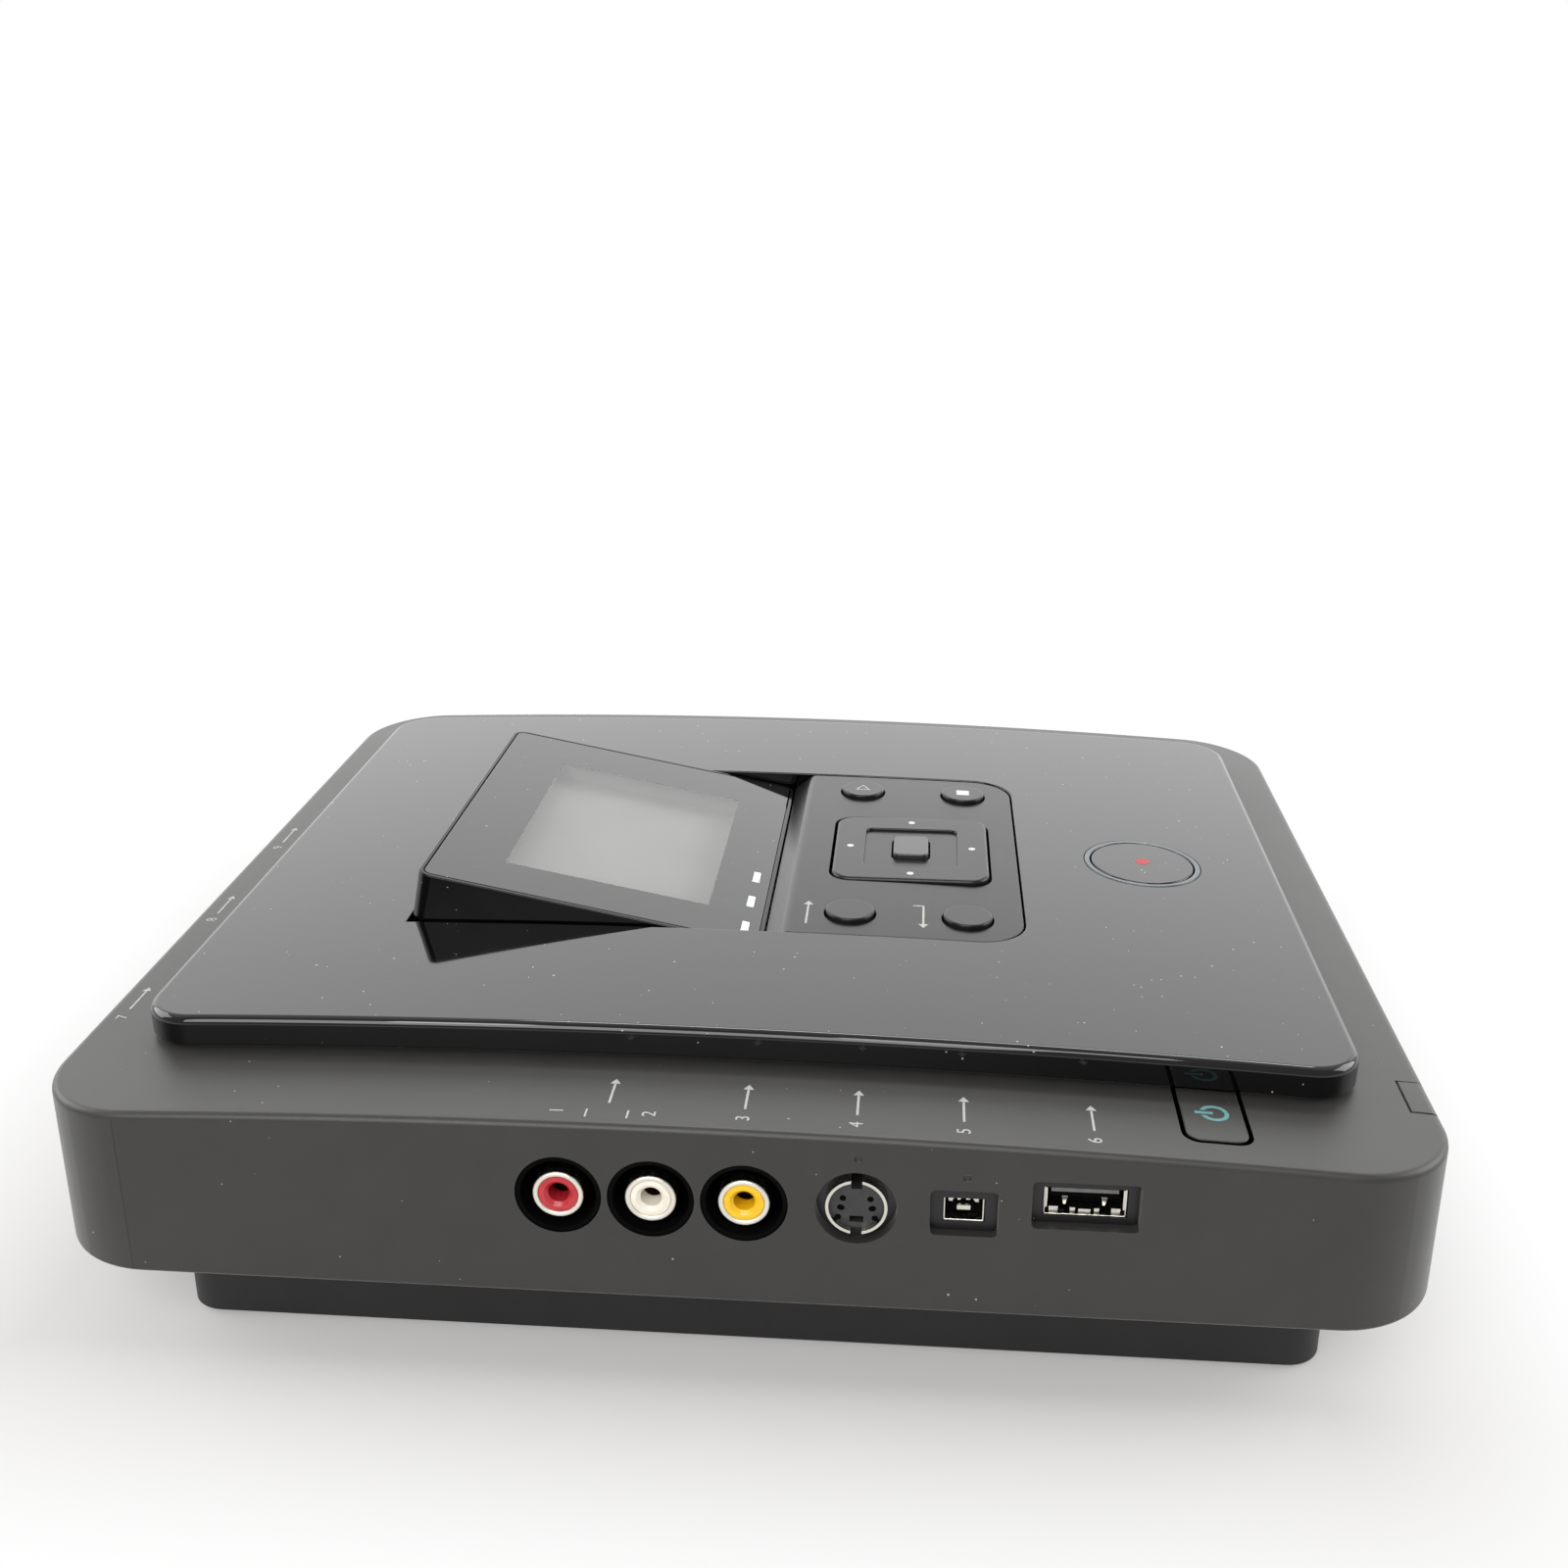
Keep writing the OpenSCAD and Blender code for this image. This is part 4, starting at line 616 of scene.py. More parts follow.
floor_x = FACE + POCKET_DEPTH
for p in POCKETS.values():
    carve(case, beam("sleeve", FACE + 1, floor_x + POCKET_WALL, p["y"], p["z"],
                     p["w"] + 2 * POCKET_WALL, p["h"] + 2 * POCKET_WALL), operation="UNION")
    recess = beam("recess", FACE - 1, floor_x, p["y"], p["z"], p["w"], p["h"])
    carve(case, round_edges(recess, lengthwise, 0.9, 5))
    carve(case, beam("mouth", FACE, floor_x + 3, p["y"], p["mouth_z"], p["mouth_w"], p["mouth_h"]))
print("pockets cut:", list(POCKETS))

# %% Round and square openings
REAR_Z = 33
TRAY_X, TRAY_LOW, TRAY_HIGH = 75, 21.9, 37.9
left_holes = [(PHONO_HOLE, y) for y in PHONO_Y] + [(SVIDEO_HOLE, SVIDEO_Y)]
holes = [start_drum("hole", r, (FACE - 1, y, JACK_Z), (FACE + 4, y, JACK_Z), 72) for r, y in left_holes]
for radius, x in ((4.6, -65), (3.9, -23.5)):
    holes.append(start_drum("hole", radius, (x, CASE_Y - 4, REAR_Z), (x, CASE_Y + 1, REAR_Z), 48))
# Digital output, two card slots and the tray's mouth
for low, high in (((7.2, CASE_Y - 4, 29.4), (23.8, CASE_Y + 1, 36.6)),
                  ((CASE_X - 4, -90.25, 30.6), (CASE_X + 1, -45.75, 35.4)),
                  ((CASE_X - 4, -43, 31), (CASE_X + 1, -17, 35)),
                  ((-TRAY_X, -CASE_Y - 1, TRAY_LOW), (TRAY_X, -CASE_Y + 4, TRAY_HIGH))):
    holes.append(start_box("hole", low, high))
carve(case, *holes)
carve(case, start_box("roof_window", (-45.2, -96.2, 38.7), (45.2, 69.6, 60)))
POWER_X, POWER_Y, POWER_SLOT = -97.3, -78, 5.7
carve(case, rounded_block("power_slot", (POWER_X - 0.3, POWER_Y - POWER_SLOT, 43),
                          (-70, POWER_Y + POWER_SLOT, 54), 2.8, 6))
carve(case, start_box("eject_slot", (-82.5, -117, 40), (-72.1, -111.1, 54)))
# The seam where two slides of the mould met, and two small sink marks over the middle sockets
carve(case, start_box("seam", (FACE - 0.1, 99.2, 10), (FACE + 0.1, 99.38, 49)))
for y, z in ((-21.5, 46.6), (-38.6, 44.0)):
    carve(case, start_drum("sink", 0.9, (FACE - 0.3, y, z), (FACE + 0.3, y, z), 24, 0.4))
print("openings cut:", len(case.data.polygons), "faces")

# %% Rims and lining of the openings


def off_axis(m, y):
    """How far a point is from the axis of a round socket in the left wall."""
    return math.hypot(m.y - y, m.z - JACK_Z)


def on_phono_hole(m, slack):
    return any(abs(off_axis(m, y) - PHONO_HOLE) < slack for y in PHONO_Y)


def on_face(m):
    return abs(m.x - FACE) < 0.02


def on_tray_mouth(m, d):
    return (abs(m.y + CASE_Y) < 0.02 and abs(m.x) < TRAY_X + 0.1
            and TRAY_LOW - 0.1 < m.z < TRAY_HIGH + 0.1)


def black_block_and_slot_shade(m, n):
    """Phono hole walls: the black block and painted shade; the power key's slot: painted shade inside."""
    phono = on_phono_hole(m, 0.05) and FACE + 0.05 < m.x < FACE + WALL + 1
    in_slot = POWER_X - 0.4 < m.x < -75 and abs(m.y - POWER_Y) < POWER_SLOT + 0.1
    return phono or (in_slot and m.z > 46 and abs(n.z) < 0.5)


round_edges(case, lambda m, d: on_face(m) and on_phono_hole(m, 0.1), 0.12, 2)
round_edges(case, lambda m, d: on_face(m) and abs(off_axis(m, SVIDEO_Y) - SVIDEO_HOLE) < 0.1, 0.35, 2)
round_edges(case, on_tray_mouth, 0.3, 2)
smooth(case, 32)
# The black on these walls is painted shade, and in the phono holes also the black socket block.
paint(case, charcoal_abs, black_print_and_shade, where=black_block_and_slot_shade)
hand_over(case, "case", "case_plastic", "upper_case")

# %% [markdown]
# ## Softened CAD pieces
# Some pieces have the right shape already and only lack the small radius that every moulded or
# pressed edge has. Their CAD mesh is copied and merged, its flat triangles are dissolved into whole
# faces, and a Bevel modifier rounds the edges that are sharper than 30 degrees.

# %% Soften copies of CAD nodes


def soften(name, node, radius):
    take(nodes[node])
    bpy.ops.object.duplicate()
    obj = bpy.context.object
    obj.name = name
    obj.parent = None
    for key in list(obj.keys()):
        if key.startswith("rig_"):
            del obj[key]
    pick(obj, "FACE", everything)
    bpy.ops.mesh.remove_doubles(threshold=0.002 * MM)
    bpy.ops.mesh.dissolve_limited(angle_limit=math.radians(1))
    put_down()
    bevel = obj.modifiers.new("edges", "BEVEL")
    bevel.width = radius * MM
    bevel.segments = 2
    bevel.limit_method = "ANGLE"
    bevel.angle_limit = math.radians(30)
    bevel.use_clamp_overlap = True
    take(obj)
    bpy.ops.object.modifier_apply(modifier=bevel.name)
    return smooth(obj, 35)


node_body = {n: body for body, members in frame["record"]["behaviour"]["bodies"].items() for n in members}


def soften_all(*rows):
    """Softens copies of nodes, each with its own edge radius, and puts them in the nodes' places."""
    for name, node, radius in rows:
        hand_over(soften(name, node, radius), node_body[node], node_slot[node], node)


soften_all(("plinth_cover", "bottom_cover", 0.5), ("feet", "rubber_feet", 0.3),
           ("tray_door", "tray_front", 0.6), ("tray_plate", "disc_tray", 0.35))

# %% [markdown]
# ## The gloss lid
# The lid is a thin tray turned upside down: a plate with a skirt, and a second skirt round the
# opening for the panel and display. Its edge is polished to a radius of a millimetre and a half,
# which draws the long highlight that makes the lid read as gloss.

# %% Lid
LID_LOW, LID_TOP = CASE_TOP + LID_GAP, CASE_TOP + LID_RISE
LID_T, SKIRT_T = 2.2, 3.3
OPEN_X, OPEN_FRONT, OPEN_BACK, OPEN_CORNER = 43, -50.5, 67.2, 9
RECORD_Y, RING_R, RING_W = -76.2, 11.9, 1.1
# Heights below and above all that lies in the lid, for tools that cut right through
CUT_LOW, CUT_HIGH = 40, 70

lid = plate("lid_plate", LID_X, LID_Y, LID_LOW, LID_TOP, LID_CORNER, 14)
round_edges(lid, at_top(LID_TOP), 1.5, 8)
round_edges(lid, at_bottom(LID_LOW), 0.4, 2)
under = plate("under", LID_X - SKIRT_T, LID_Y - SKIRT_T, LID_LOW - 1, LID_TOP - LID_T,
              LID_CORNER - SKIRT_T, 12)
carve(under, front_rounded("rim", OPEN_X + LID_T, OPEN_FRONT - LID_T, OPEN_BACK + LID_T,
                           CUT_LOW, CUT_HIGH, OPEN_CORNER + LID_T))
carve(lid, under)
follow_crown(lid, 0, -102, 104, 5)
opening = front_rounded("opening", OPEN_X, OPEN_FRONT, OPEN_BACK, CUT_LOW, CUT_HIGH, OPEN_CORNER)
record_hole = start_drum("record_hole", RING_R + 0.1, (0, RECORD_Y, CUT_LOW), (0, RECORD_Y, CUT_HIGH), 96)
carve(lid, opening, record_hole)
print("lid cut:", len(lid.data.polygons), "faces")

# %% Rims of the lid's openings


def on_lid_top(m):
    return abs(m.z - crown_z(m.y, LID_RISE)) < 0.06


def opening_rim(m, d):
    beside = abs(abs(m.x) - OPEN_X) < 0.02 and OPEN_FRONT < m.y < OPEN_BACK
    across = abs(m.x) < OPEN_X and min(abs(m.y - OPEN_FRONT), abs(m.y - OPEN_BACK)) < 0.02
    bend = math.hypot(abs(m.x) - OPEN_X + OPEN_CORNER, m.y - OPEN_FRONT - OPEN_CORNER)
    corner = m.y < OPEN_FRONT + OPEN_CORNER and abs(bend - OPEN_CORNER) < 0.1
    return on_lid_top(m) and (beside or across or corner)


def record_rim(m, d):
    return on_lid_top(m) and abs(math.hypot(m.x, m.y - RECORD_Y) - RING_R - 0.1) < 0.05


def opening_wall(m, n):
    in_opening = abs(m.x) < OPEN_X + 0.1 and OPEN_FRONT - 0.1 < m.y < OPEN_BACK + 0.1
    return in_opening and abs(n.z) < 0.3


round_edges(lid, opening_rim, 0.4, 3)
round_edges(lid, record_rim, 0.25, 2)
smooth(lid, 32)
paint(lid, gloss_acrylic, rim_abs, where=opening_wall)
hand_over(lid, "case", "lid_gloss", "top_lid")

# %% [markdown]
# ## The control panel
# The panel lies just below the lid's surface and ends in a short slope down to the display. Its
# rear face is extruded for the slope, and the fold gets a small radius. Each key hole has a
# chamfered rim, which is what the eye takes for a clean moulding.

# %% Panel
PANEL_X, PANEL_FRONT, PANEL_BACK, PANEL_CORNER, PANEL_T = 42.7, -50.2, -4.9, 8.7, 2
PANEL_RISE = 6.0
PANEL_TOP = CASE_TOP + PANEL_RISE
DISPLAY_Z, DISPLAY_Y = 53.4, -0.7
KEYS = {"play": (33, -16.9), "stop": (33, -39.5), "output": (-33, -16.9), "return": (-33, -39.5)}
KEY_HOLE = 5
PAD_Y, PAD_HOLE_X, PAD_HOLE_Y, PAD_HOLE_CORNER = -28.2, 17.2, 16.45, 4.3

panel = front_rounded("panel_skin", PANEL_X, PANEL_FRONT, PANEL_BACK, PANEL_TOP - PANEL_T, PANEL_TOP,
                      PANEL_CORNER)
round_edges(panel, lambda m, d: m.z > PANEL_TOP - HAIR and m.y < PANEL_BACK - HAIR, 0.3, 2)
follow_crown(panel, 0, -48, -5, 6)
fall = DISPLAY_Z - crown_z(PANEL_BACK, PANEL_RISE)
pull(panel, lambda m, n: n.y > STRAIGHT and m.y > PANEL_BACK - HAIR, (0, 3.9, fall))
round_edges(panel, lambda m, d: abs(m.y - PANEL_BACK) < 0.02 and lengthwise(m, d) and m.z > 55, 0.8, 4)
skirt = front_rounded("skirt", PANEL_X, PANEL_FRONT, PANEL_BACK, CASE_TOP - 0.5, PANEL_TOP - 2.2,
                      PANEL_CORNER)
carve(skirt, front_rounded("inside", PANEL_X - PANEL_T, PANEL_FRONT + PANEL_T, PANEL_BACK + 1,
                           CUT_LOW, CUT_HIGH, PANEL_CORNER - PANEL_T))
follow_crown(skirt, 0, -48, -5, 12)
key_holes = [start_drum("key_hole", KEY_HOLE, (x, y, 50), (x, y, 60), 64) for x, y in KEYS.values()]
carve(panel, *key_holes, plate("pad_hole", PAD_HOLE_X, PAD_HOLE_Y, 50, 60, PAD_HOLE_CORNER, 8, PAD_Y))


def key_rim(m, d):
    on_top = abs(m.z - crown_z(m.y, PANEL_RISE)) < 0.06
    round_rim = any(abs(math.hypot(m.x - x, m.y - y) - KEY_HOLE) < 0.05 for x, y in KEYS.values())
    x, y = abs(m.x), abs(m.y - PAD_Y)
    in_pad_hole = x < PAD_HOLE_X + 0.1 and y < PAD_HOLE_Y + 0.15
    pad_rim = in_pad_hole and (x > PAD_HOLE_X - 4.4 or y > PAD_HOLE_Y - 4.35)
    return on_top and (round_rim or pad_rim) and not upright(m, d)


round_edges(panel, key_rim, 0.3, 2)
join(panel, skirt)
smooth(panel, 32)
hand_over(panel, "case", "panel_plastic", "control_panel")

# %% [markdown]
# ## Keys
# A round key is one turned form: a flange that keeps it in, a body through the panel with a rounded
# rim, and a stem down to its switch. A profile could be spun, but the form is short, so it starts as
# the flange, and inset and extrude do the rest. The same helper makes the larger record button.

# %% Round keys
STEM_LOW = 49.65
FLANGE_T = 0.9
KEY_RISE = PANEL_RISE + 0.9
RECORD_RISE = 6.3


def round_key(name, x, y, radius, flange, low, top, rim, stem):
    """A key with its flange from rise low, its top at rise top and a stem down to its switch."""
    obj = start_drum(name, flange, (x, y, CASE_TOP + low), (x, y, CASE_TOP + low + FLANGE_T), 72)
    sink(obj, faces_up, flange - radius)
    pull(obj, hub(x, y, 1), (0, 0, top - low - FLANGE_T))
    round_edges(obj, at_top(CASE_TOP + top), rim, 5)
    sink(obj, faces_down, flange - stem)
    pull(obj, hub(x, y, -1), (0, 0, STEM_LOW - CASE_TOP - low))
    follow_crown(obj, STEM_LOW + 0.1)
    return smooth(obj, 35)


for key, (x, y) in KEYS.items():
    cap = round_key(key + "_cap", x, y, radius=KEY_HOLE - 0.3, flange=5.8, low=PANEL_RISE - 3.2,
                    top=KEY_RISE, rim=0.4, stem=1.6)
    hand_over(cap, key, "key_plastic", key + "_button")
record = round_key("record_cap", 0, RECORD_Y, radius=RING_R - RING_W - 0.3, flange=RING_R, low=1.5,
                   top=RECORD_RISE, rim=0.35, stem=2.5)
hand_over(record, "record", "lid_gloss", "record_button")

# %% Record ring
RING_LIP = 1.4


def ring_edge(m, d):
    off_middle = abs(math.hypot(m.x, m.y - RECORD_Y) - RING_R + RING_W / 2)
    return m.z > CASE_TOP + RECORD_RISE - HAIR and off_middle > RING_W / 2 - 0.03


ring = start_drum("record_light_ring", RING_R + RING_LIP, (0, RECORD_Y, CASE_TOP + 2.7),
                  (0, RECORD_Y, CASE_TOP + 4), 96)
sink(ring, faces_up, RING_LIP)
pull(ring, hub(0, RECORD_Y, 1), (0, 0, 2.3))
carve(ring, start_drum("bore", RING_R - RING_W, (0, RECORD_Y, CUT_LOW), (0, RECORD_Y, CUT_HIGH), 96))
round_edges(ring, ring_edge, 0.25, 3)
follow_crown(ring)
smooth(ring)
hand_over(ring, "case", "light_ring", "record_ring")

# %% [markdown]
# ## Direction pad and enter key
# The pad is a rounded square with a sunk square middle, so that a thumb finds its four sides. It
# tilts on a gimbal under it. The enter key stands in its middle.

# %% Pad
PAD_TOP = crown_z(PAD_Y, PANEL_RISE) + 0.6
POST_OUT, POST_LOW = 13.4, 49.75
pad = plate("pad_cap", 16.75, 16, PAD_TOP - 2.6, PAD_TOP, 4, 8, PAD_Y)
round_edges(pad, at_top(PAD_TOP), 0.7, 4)
carve(pad, plate("middle", 10.15, 9.6, PAD_TOP - 0.6, 60, 1.5, 5, PAD_Y))
round_edges(pad, lambda m, d: m.z > PAD_TOP - HAIR and abs(m.x) < 10.3 and abs(m.y - PAD_Y) < 9.8, 0.35, 3)
carve(pad, plate("enter_hole", 5.5, 4.05, 50, 60, 1.6, 5, PAD_Y))
posts = []
for c, s in ((1, 0), (-1, 0), (0, 1), (0, -1)):
    x, y = POST_OUT * c, PAD_Y + POST_OUT * s
    posts.append(start_drum("post", 1.2, (x, y, POST_LOW), (x, y, PAD_TOP - 2.5), 24))
for post in posts:
    round_edges(post, at_bottom(POST_LOW), 0.4, 2)
join(pad, *posts)
smooth(pad, 35)
hand_over(pad, "pad", "key_plastic", "direction_pad")

# %% Enter key
ENTER_TOP = PAD_TOP + 0.5
enter = plate("enter_cap", 5.1, 3.65, PAD_TOP - 3.4, ENTER_TOP, 1.3, 6, PAD_Y)
round_edges(enter, at_top(ENTER_TOP), 0.35, 4)
flange = start_drum("enter_flange", 6.2, (0, PAD_Y, PAD_TOP - 3.7), (0, PAD_Y, PAD_TOP - 3.1), 48)
sink(flange, faces_down, 4.2)
pull(flange, hub(0, PAD_Y, -1), (0, 0, STEM_LOW - PAD_TOP + 3.7))
join(enter, flange)
smooth(enter)
paint(enter, enter_abs)
hand_over(enter, "enter", "key_plastic", "enter_key")

# %% [markdown]
# ## Edge keys
# The power key ends under the lid; its flange and sides are painted black as the shade in the gap round it.
# The eject key wraps over the case's front edge, so its upper front edge has the case's radius. Both
# are a bevelled block joined with a flange and a round stem down to a switch.

# %% Power key
EDGE_STEM_LOW = 32.65
POWER_TOP = CASE_TOP + 0.15


def edge_stem(radius, x, y, top):
    stem = start_drum("stem", radius, (x, y, EDGE_STEM_LOW), (x, y, top), 32)
    return round_edges(stem, at_bottom(EDGE_STEM_LOW), 0.4, 2)


power = start_box("power_cap", (POWER_X + 0.4, POWER_Y - 5.0, CASE_TOP - 2.6),
                  (-81, POWER_Y + 5.0, POWER_TOP))
round_edges(power, lambda m, d: upright(m, d) and m.x < POWER_X + 0.5, 2.5, 6)
round_edges(power, at_top(POWER_TOP), 0.3, 3)
flange = rounded_block("flange", (POWER_X - 1.1, POWER_Y - 6.5, CASE_TOP - 3.8),
                       (-79.9, POWER_Y + 6.5, CASE_TOP - 2.7), 3, 5)
stem = edge_stem(2, POWER_X + 7, POWER_Y, CASE_TOP - 3)
paint(power, charcoal_abs)
# Painted shade: the flange and stem are black so that the gap round the key reads as a dark line.
paint(flange, black_print_and_shade)
paint(stem, black_print_and_shade)
join(power, flange, stem)
follow_crown(power, 40, POWER_Y - 5, POWER_Y + 6, 3)
smooth(power, 35)
# The key's sides are painted black too, as painted shade in the gap.
for face in power.data.polygons:
    if abs(face.normal.z) < 0.5:
        face.material_index = 1
hand_over(power, "power", "panel_plastic", "power_key")

# %% Eject key
EJECT_X, EJECT_HALF, EJECT_D = -77.3, 4.9, 4.6
eject = start_box("eject_cap", (EJECT_X - EJECT_HALF, -CASE_Y, 41),
                  (EJECT_X + EJECT_HALF, -CASE_Y + EJECT_D, CASE_TOP + 0.1))
round_edges(eject, lambda m, d: m.z > CASE_TOP and m.y < -CASE_Y + HAIR, 1.5, 6)
round_edges(eject, lambda m, d: m.z > CASE_TOP and m.y > -CASE_Y + 1.6, 0.2, 2)
flange = rounded_block("flange", (EJECT_X - EJECT_HALF, -CASE_Y + 2.65, CASE_TOP - 3.9),
                       (EJECT_X + EJECT_HALF, -CASE_Y + 8.2, CASE_TOP - 2.7), 0.4, 2)
join(eject, flange, edge_stem(1.8, EJECT_X, -CASE_Y + 6.2, CASE_TOP - 3.2))
follow_crown(eject, 44)
smooth(eject, 35)
hand_over(eject, "eject", "case_plastic", "eject_key")

# %% [markdown]
# ## The display
# The display stands up out of the lid at a slope of eleven degrees. It is easiest to build lying
# flat, with its face at height zero and its front edge on the X axis, and to tilt it into place at
# the end. Under the clear window lie a black printed border, the walls of the frame behind it, and
# the grey display layer, a few millimetres down, which is why its picture seems to sit in a box.

# %% Display housing
TILT = math.radians(10.9)
DISPLAY_X, DISPLAY_L, DISPLAY_T, BACK_T = 42.5, 66.9, 9.5, 1.6


def tilt_up(obj):
    obj.rotation_euler = (TILT, 0, 0)
    obj.location = (0, DISPLAY_Y * MM, DISPLAY_Z * MM)
    return settle(obj)


def display_block(name, margin, low, high, corner, steps):
    """A block that stays inside the display's outline by a margin, between two heights."""
    return rounded_block(name, (-DISPLAY_X + margin, margin, low),
                         (DISPLAY_X - margin, DISPLAY_L - margin, high), corner, steps)


housing = display_block("display_shell", 0, -DISPLAY_T, 0, 3, 8)
round_edges(housing, at_top(0), 0.3, 3)
carve(housing, display_block("window_seat", 0.8, -1.4, 3, 2.2, 6))
carve(housing, display_block("cavity", 2.4, -DISPLAY_T + BACK_T, 3, 1, 4))
smooth(housing, 32)
paint(housing, rim_abs)
tilt_up(housing)
hand_over(housing, "case", "lid_gloss", "display_housing")

# %% Border and picture
# Left, right, near and far edge of the picture on the display as it lies flat
left, right, near, far = -29.7, 27.3, 11.8, 52.5
LCD_DEPTH = 5.0
LED_X, LED_Y, LED_W, LED_H = (-36, -24, -12), 3.9, 2.6, 0.8


def led_boxes(name, room, low, high):
    """A box for each of the three indicator bars, with some room round it."""
    return [start_box(name, (x - LED_W - room, LED_Y - LED_H - room, low),
                      (x + LED_W + room, LED_Y + LED_H + room, high)) for x in LED_X]


def frame_wall(m, n):
    inside = left - 1 < m.x < right + 4 and near - 1 < m.y < far + 2
    return inside and abs(n.z) < 0.5


border = display_block("display_border", 2.5, -LCD_DEPTH, -1.36, 0.9, 4)
carve(border, display_block("sheet", 0.95, -1.395, -1.35, 2, 6), operation="UNION")
carve(border, rounded_block("picture", (left - 0.3, near - 0.5, -9), (right + 3.2, far + 1.0, 3), 0.4, 3),
      *led_boxes("led_hole", 0.05, -9, 3))
paint(border, black_print_and_shade, lcd_wall, where=frame_wall)
smooth(border, 32)
tilt_up(border)
hand_over(border, "case", "display_glass")

picture = start_box("display_layer", (-31, 8.8, -DISPLAY_T + BACK_T), (31, 55.5, -LCD_DEPTH))
round_edges(picture, at_top(-LCD_DEPTH), 0.2, 2)
smooth(picture)
tilt_up(picture)
hand_over(picture, "case", "display_panel", "display_panel")

# %% Window and indicators
# The window is cut along the picture's edges, so that only the part over the picture is clear.
WINDOW_IN = 1.05


def window_edge(m, d):
    rim = WINDOW_IN + 0.15
    return m.z > -HAIR and (abs(m.x) > DISPLAY_X - rim or m.y < rim or m.y > DISPLAY_L - rim)


def black_backed(m, n):
    return not (left < m.x < right and near < m.y < far or n.z < -0.5)


window = display_block("clear_window", WINDOW_IN, -1.3, 0, 2, 6)
carve(window, *led_boxes("led_hole", 0.05, -9, 3))
round_edges(window, window_edge, 0.15, 2)
for x in (left, right):
    slice_at(window, (x, 0, 0), (1, 0, 0))
for y in (near, far):
    slice_at(window, (0, y, 0), (0, 1, 0))
paint(window, clear_acrylic, gloss_acrylic, where=black_backed)
smooth(window, 5)
tilt_up(window)
hand_over(window, "case", "display_glass", "display_window")

lights = led_boxes("indicator", 0, -1.4, 0)
for light in lights:
    round_edges(light, at_top(0), 0.12, 2)
    pull(light, faces_down, (0, 0, -0.8))
indicators = join(*lights, name="indicator_bars")
smooth(indicators)
tilt_up(indicators)
paint(indicators, milky_guide)
hand_over(indicators, "case", "pale_plastic", "indicator_windows")

# %% [markdown]
# ## Phono sockets
# Each phono socket is a nickel tube with a coloured insulator in it and a hole for the plug's pin.
# The tube's rim is thick and turned to a radius, and the insulator's hole starts with a cone that
# guides the pin. One socket is modelled and copied along the row.

# %% Phono shells
PHONO_END = -87.2
SHELL_R, BORE_R, SHELL_FLOOR = 4.15, 3.25, 0.3


def in_middle(m, n):
    return n.x < -STRAIGHT and off_axis(m, 0) < HAIR


def shell_rim(m, d):
    around = off_axis(m, 0)
    return m.x < FACE + HAIR and min(abs(around - SHELL_R), abs(around - BORE_R)) < 0.02


def copy_to(obj, y):
    take(obj)
    bpy.ops.object.duplicate()
    twin = bpy.context.object
    twin.location = Vector((0, y, 0)) * MM
    return settle(twin)


shell = start_drum("shell", SHELL_R, (FACE, 0, JACK_Z), (PHONO_END, 0, JACK_Z), 72)
sink(shell, in_middle, SHELL_R - BORE_R)
pull(shell, in_middle, (PHONO_END - FACE - SHELL_FLOOR, 0, 0))
round_edges(shell, shell_rim, 0.4, 4)
smooth(shell, 50)
phono_shells = join(*[copy_to(shell, y) for y in PHONO_Y], name="phono_shells")
bpy.data.objects.remove(shell)
paint(phono_shells, satin_nickel, nickel_plate, where=lambda m, n: m.x > FACE + 0.45)
hand_over(phono_shells, "case", "nickel", "rca_shells")

# %% Phono insulators
CONTACT_DEPTH = 3.8
plug_seat = start_drum("insulator", BORE_R - 0.01, (FACE + 0.2, 0, JACK_Z),
                       (PHONO_END - SHELL_FLOOR - 0.05, 0, JACK_Z), 64)
round_edges(plug_seat, lambda m, d: m.x < FACE + 0.2 + HAIR, 0.15, 2)
sink(plug_seat, in_middle, 0.75)
sink(plug_seat, in_middle, 0.6, -0.6)
pull(plug_seat, in_middle, (3.0, 0, 0))
pull(plug_seat, in_middle, (6.6, 0, 0))
smooth(plug_seat, 40)
for colour, y in zip(("red", "white", "yellow"), PHONO_Y):
    seat_copy = copy_to(plug_seat, y)
    seat_copy.name = colour + "_plug_seat"
    paint(seat_copy, finishes[colour + "_plastic"], tarnished_brass,
          where=lambda m, n: off_axis(m, y) < 1.8 and FACE + CONTACT_DEPTH < m.x < PHONO_END - 1)
    hand_over(seat_copy, "case", colour + "_plastic", colour + "_insulator")
bpy.data.objects.remove(plug_seat)

# %% [markdown]
# ## Other sockets
# The remaining shells, tongues and blocks are pressed or moulded to plain shapes that the CAD already
# has, so softened copies do. Six thin black discs of painted shade stand for the round video socket's
# holes.

# %% Other sockets
soften_all(("round_video_ring", "svideo_ring", 0.2), ("round_video_core", "svideo_body", 0.15),
           ("small_digital_shell", "dv_shell", 0.15), ("small_digital_tongue", "dv_tongue", 0.15),
           ("large_digital_shell", "usb_shell", 0.18), ("large_digital_tongue", "usb_tongue", 0.15),
           ("phono_block", "rca_block", 0.2), ("digital_output_shell", "hdmi_shell", 0.12),
           ("digital_output_tongue", "hdmi_tongue", 0.1), ("round_jack", "av_jack", 0.2),
           ("supply_inlet", "power_inlet", 0.2), ("card_slots", "card_reader", 0.2))
paint(bpy.data.objects["round_video_core"], grey_pbt)
# Glossless black: the phono block is black plastic without its gloss, and on the grey tongues the black is
# painted shade.
for name in ("phono_block", "large_digital_tongue", "small_digital_tongue"):
    paint(bpy.data.objects[name], black_print_and_shade)
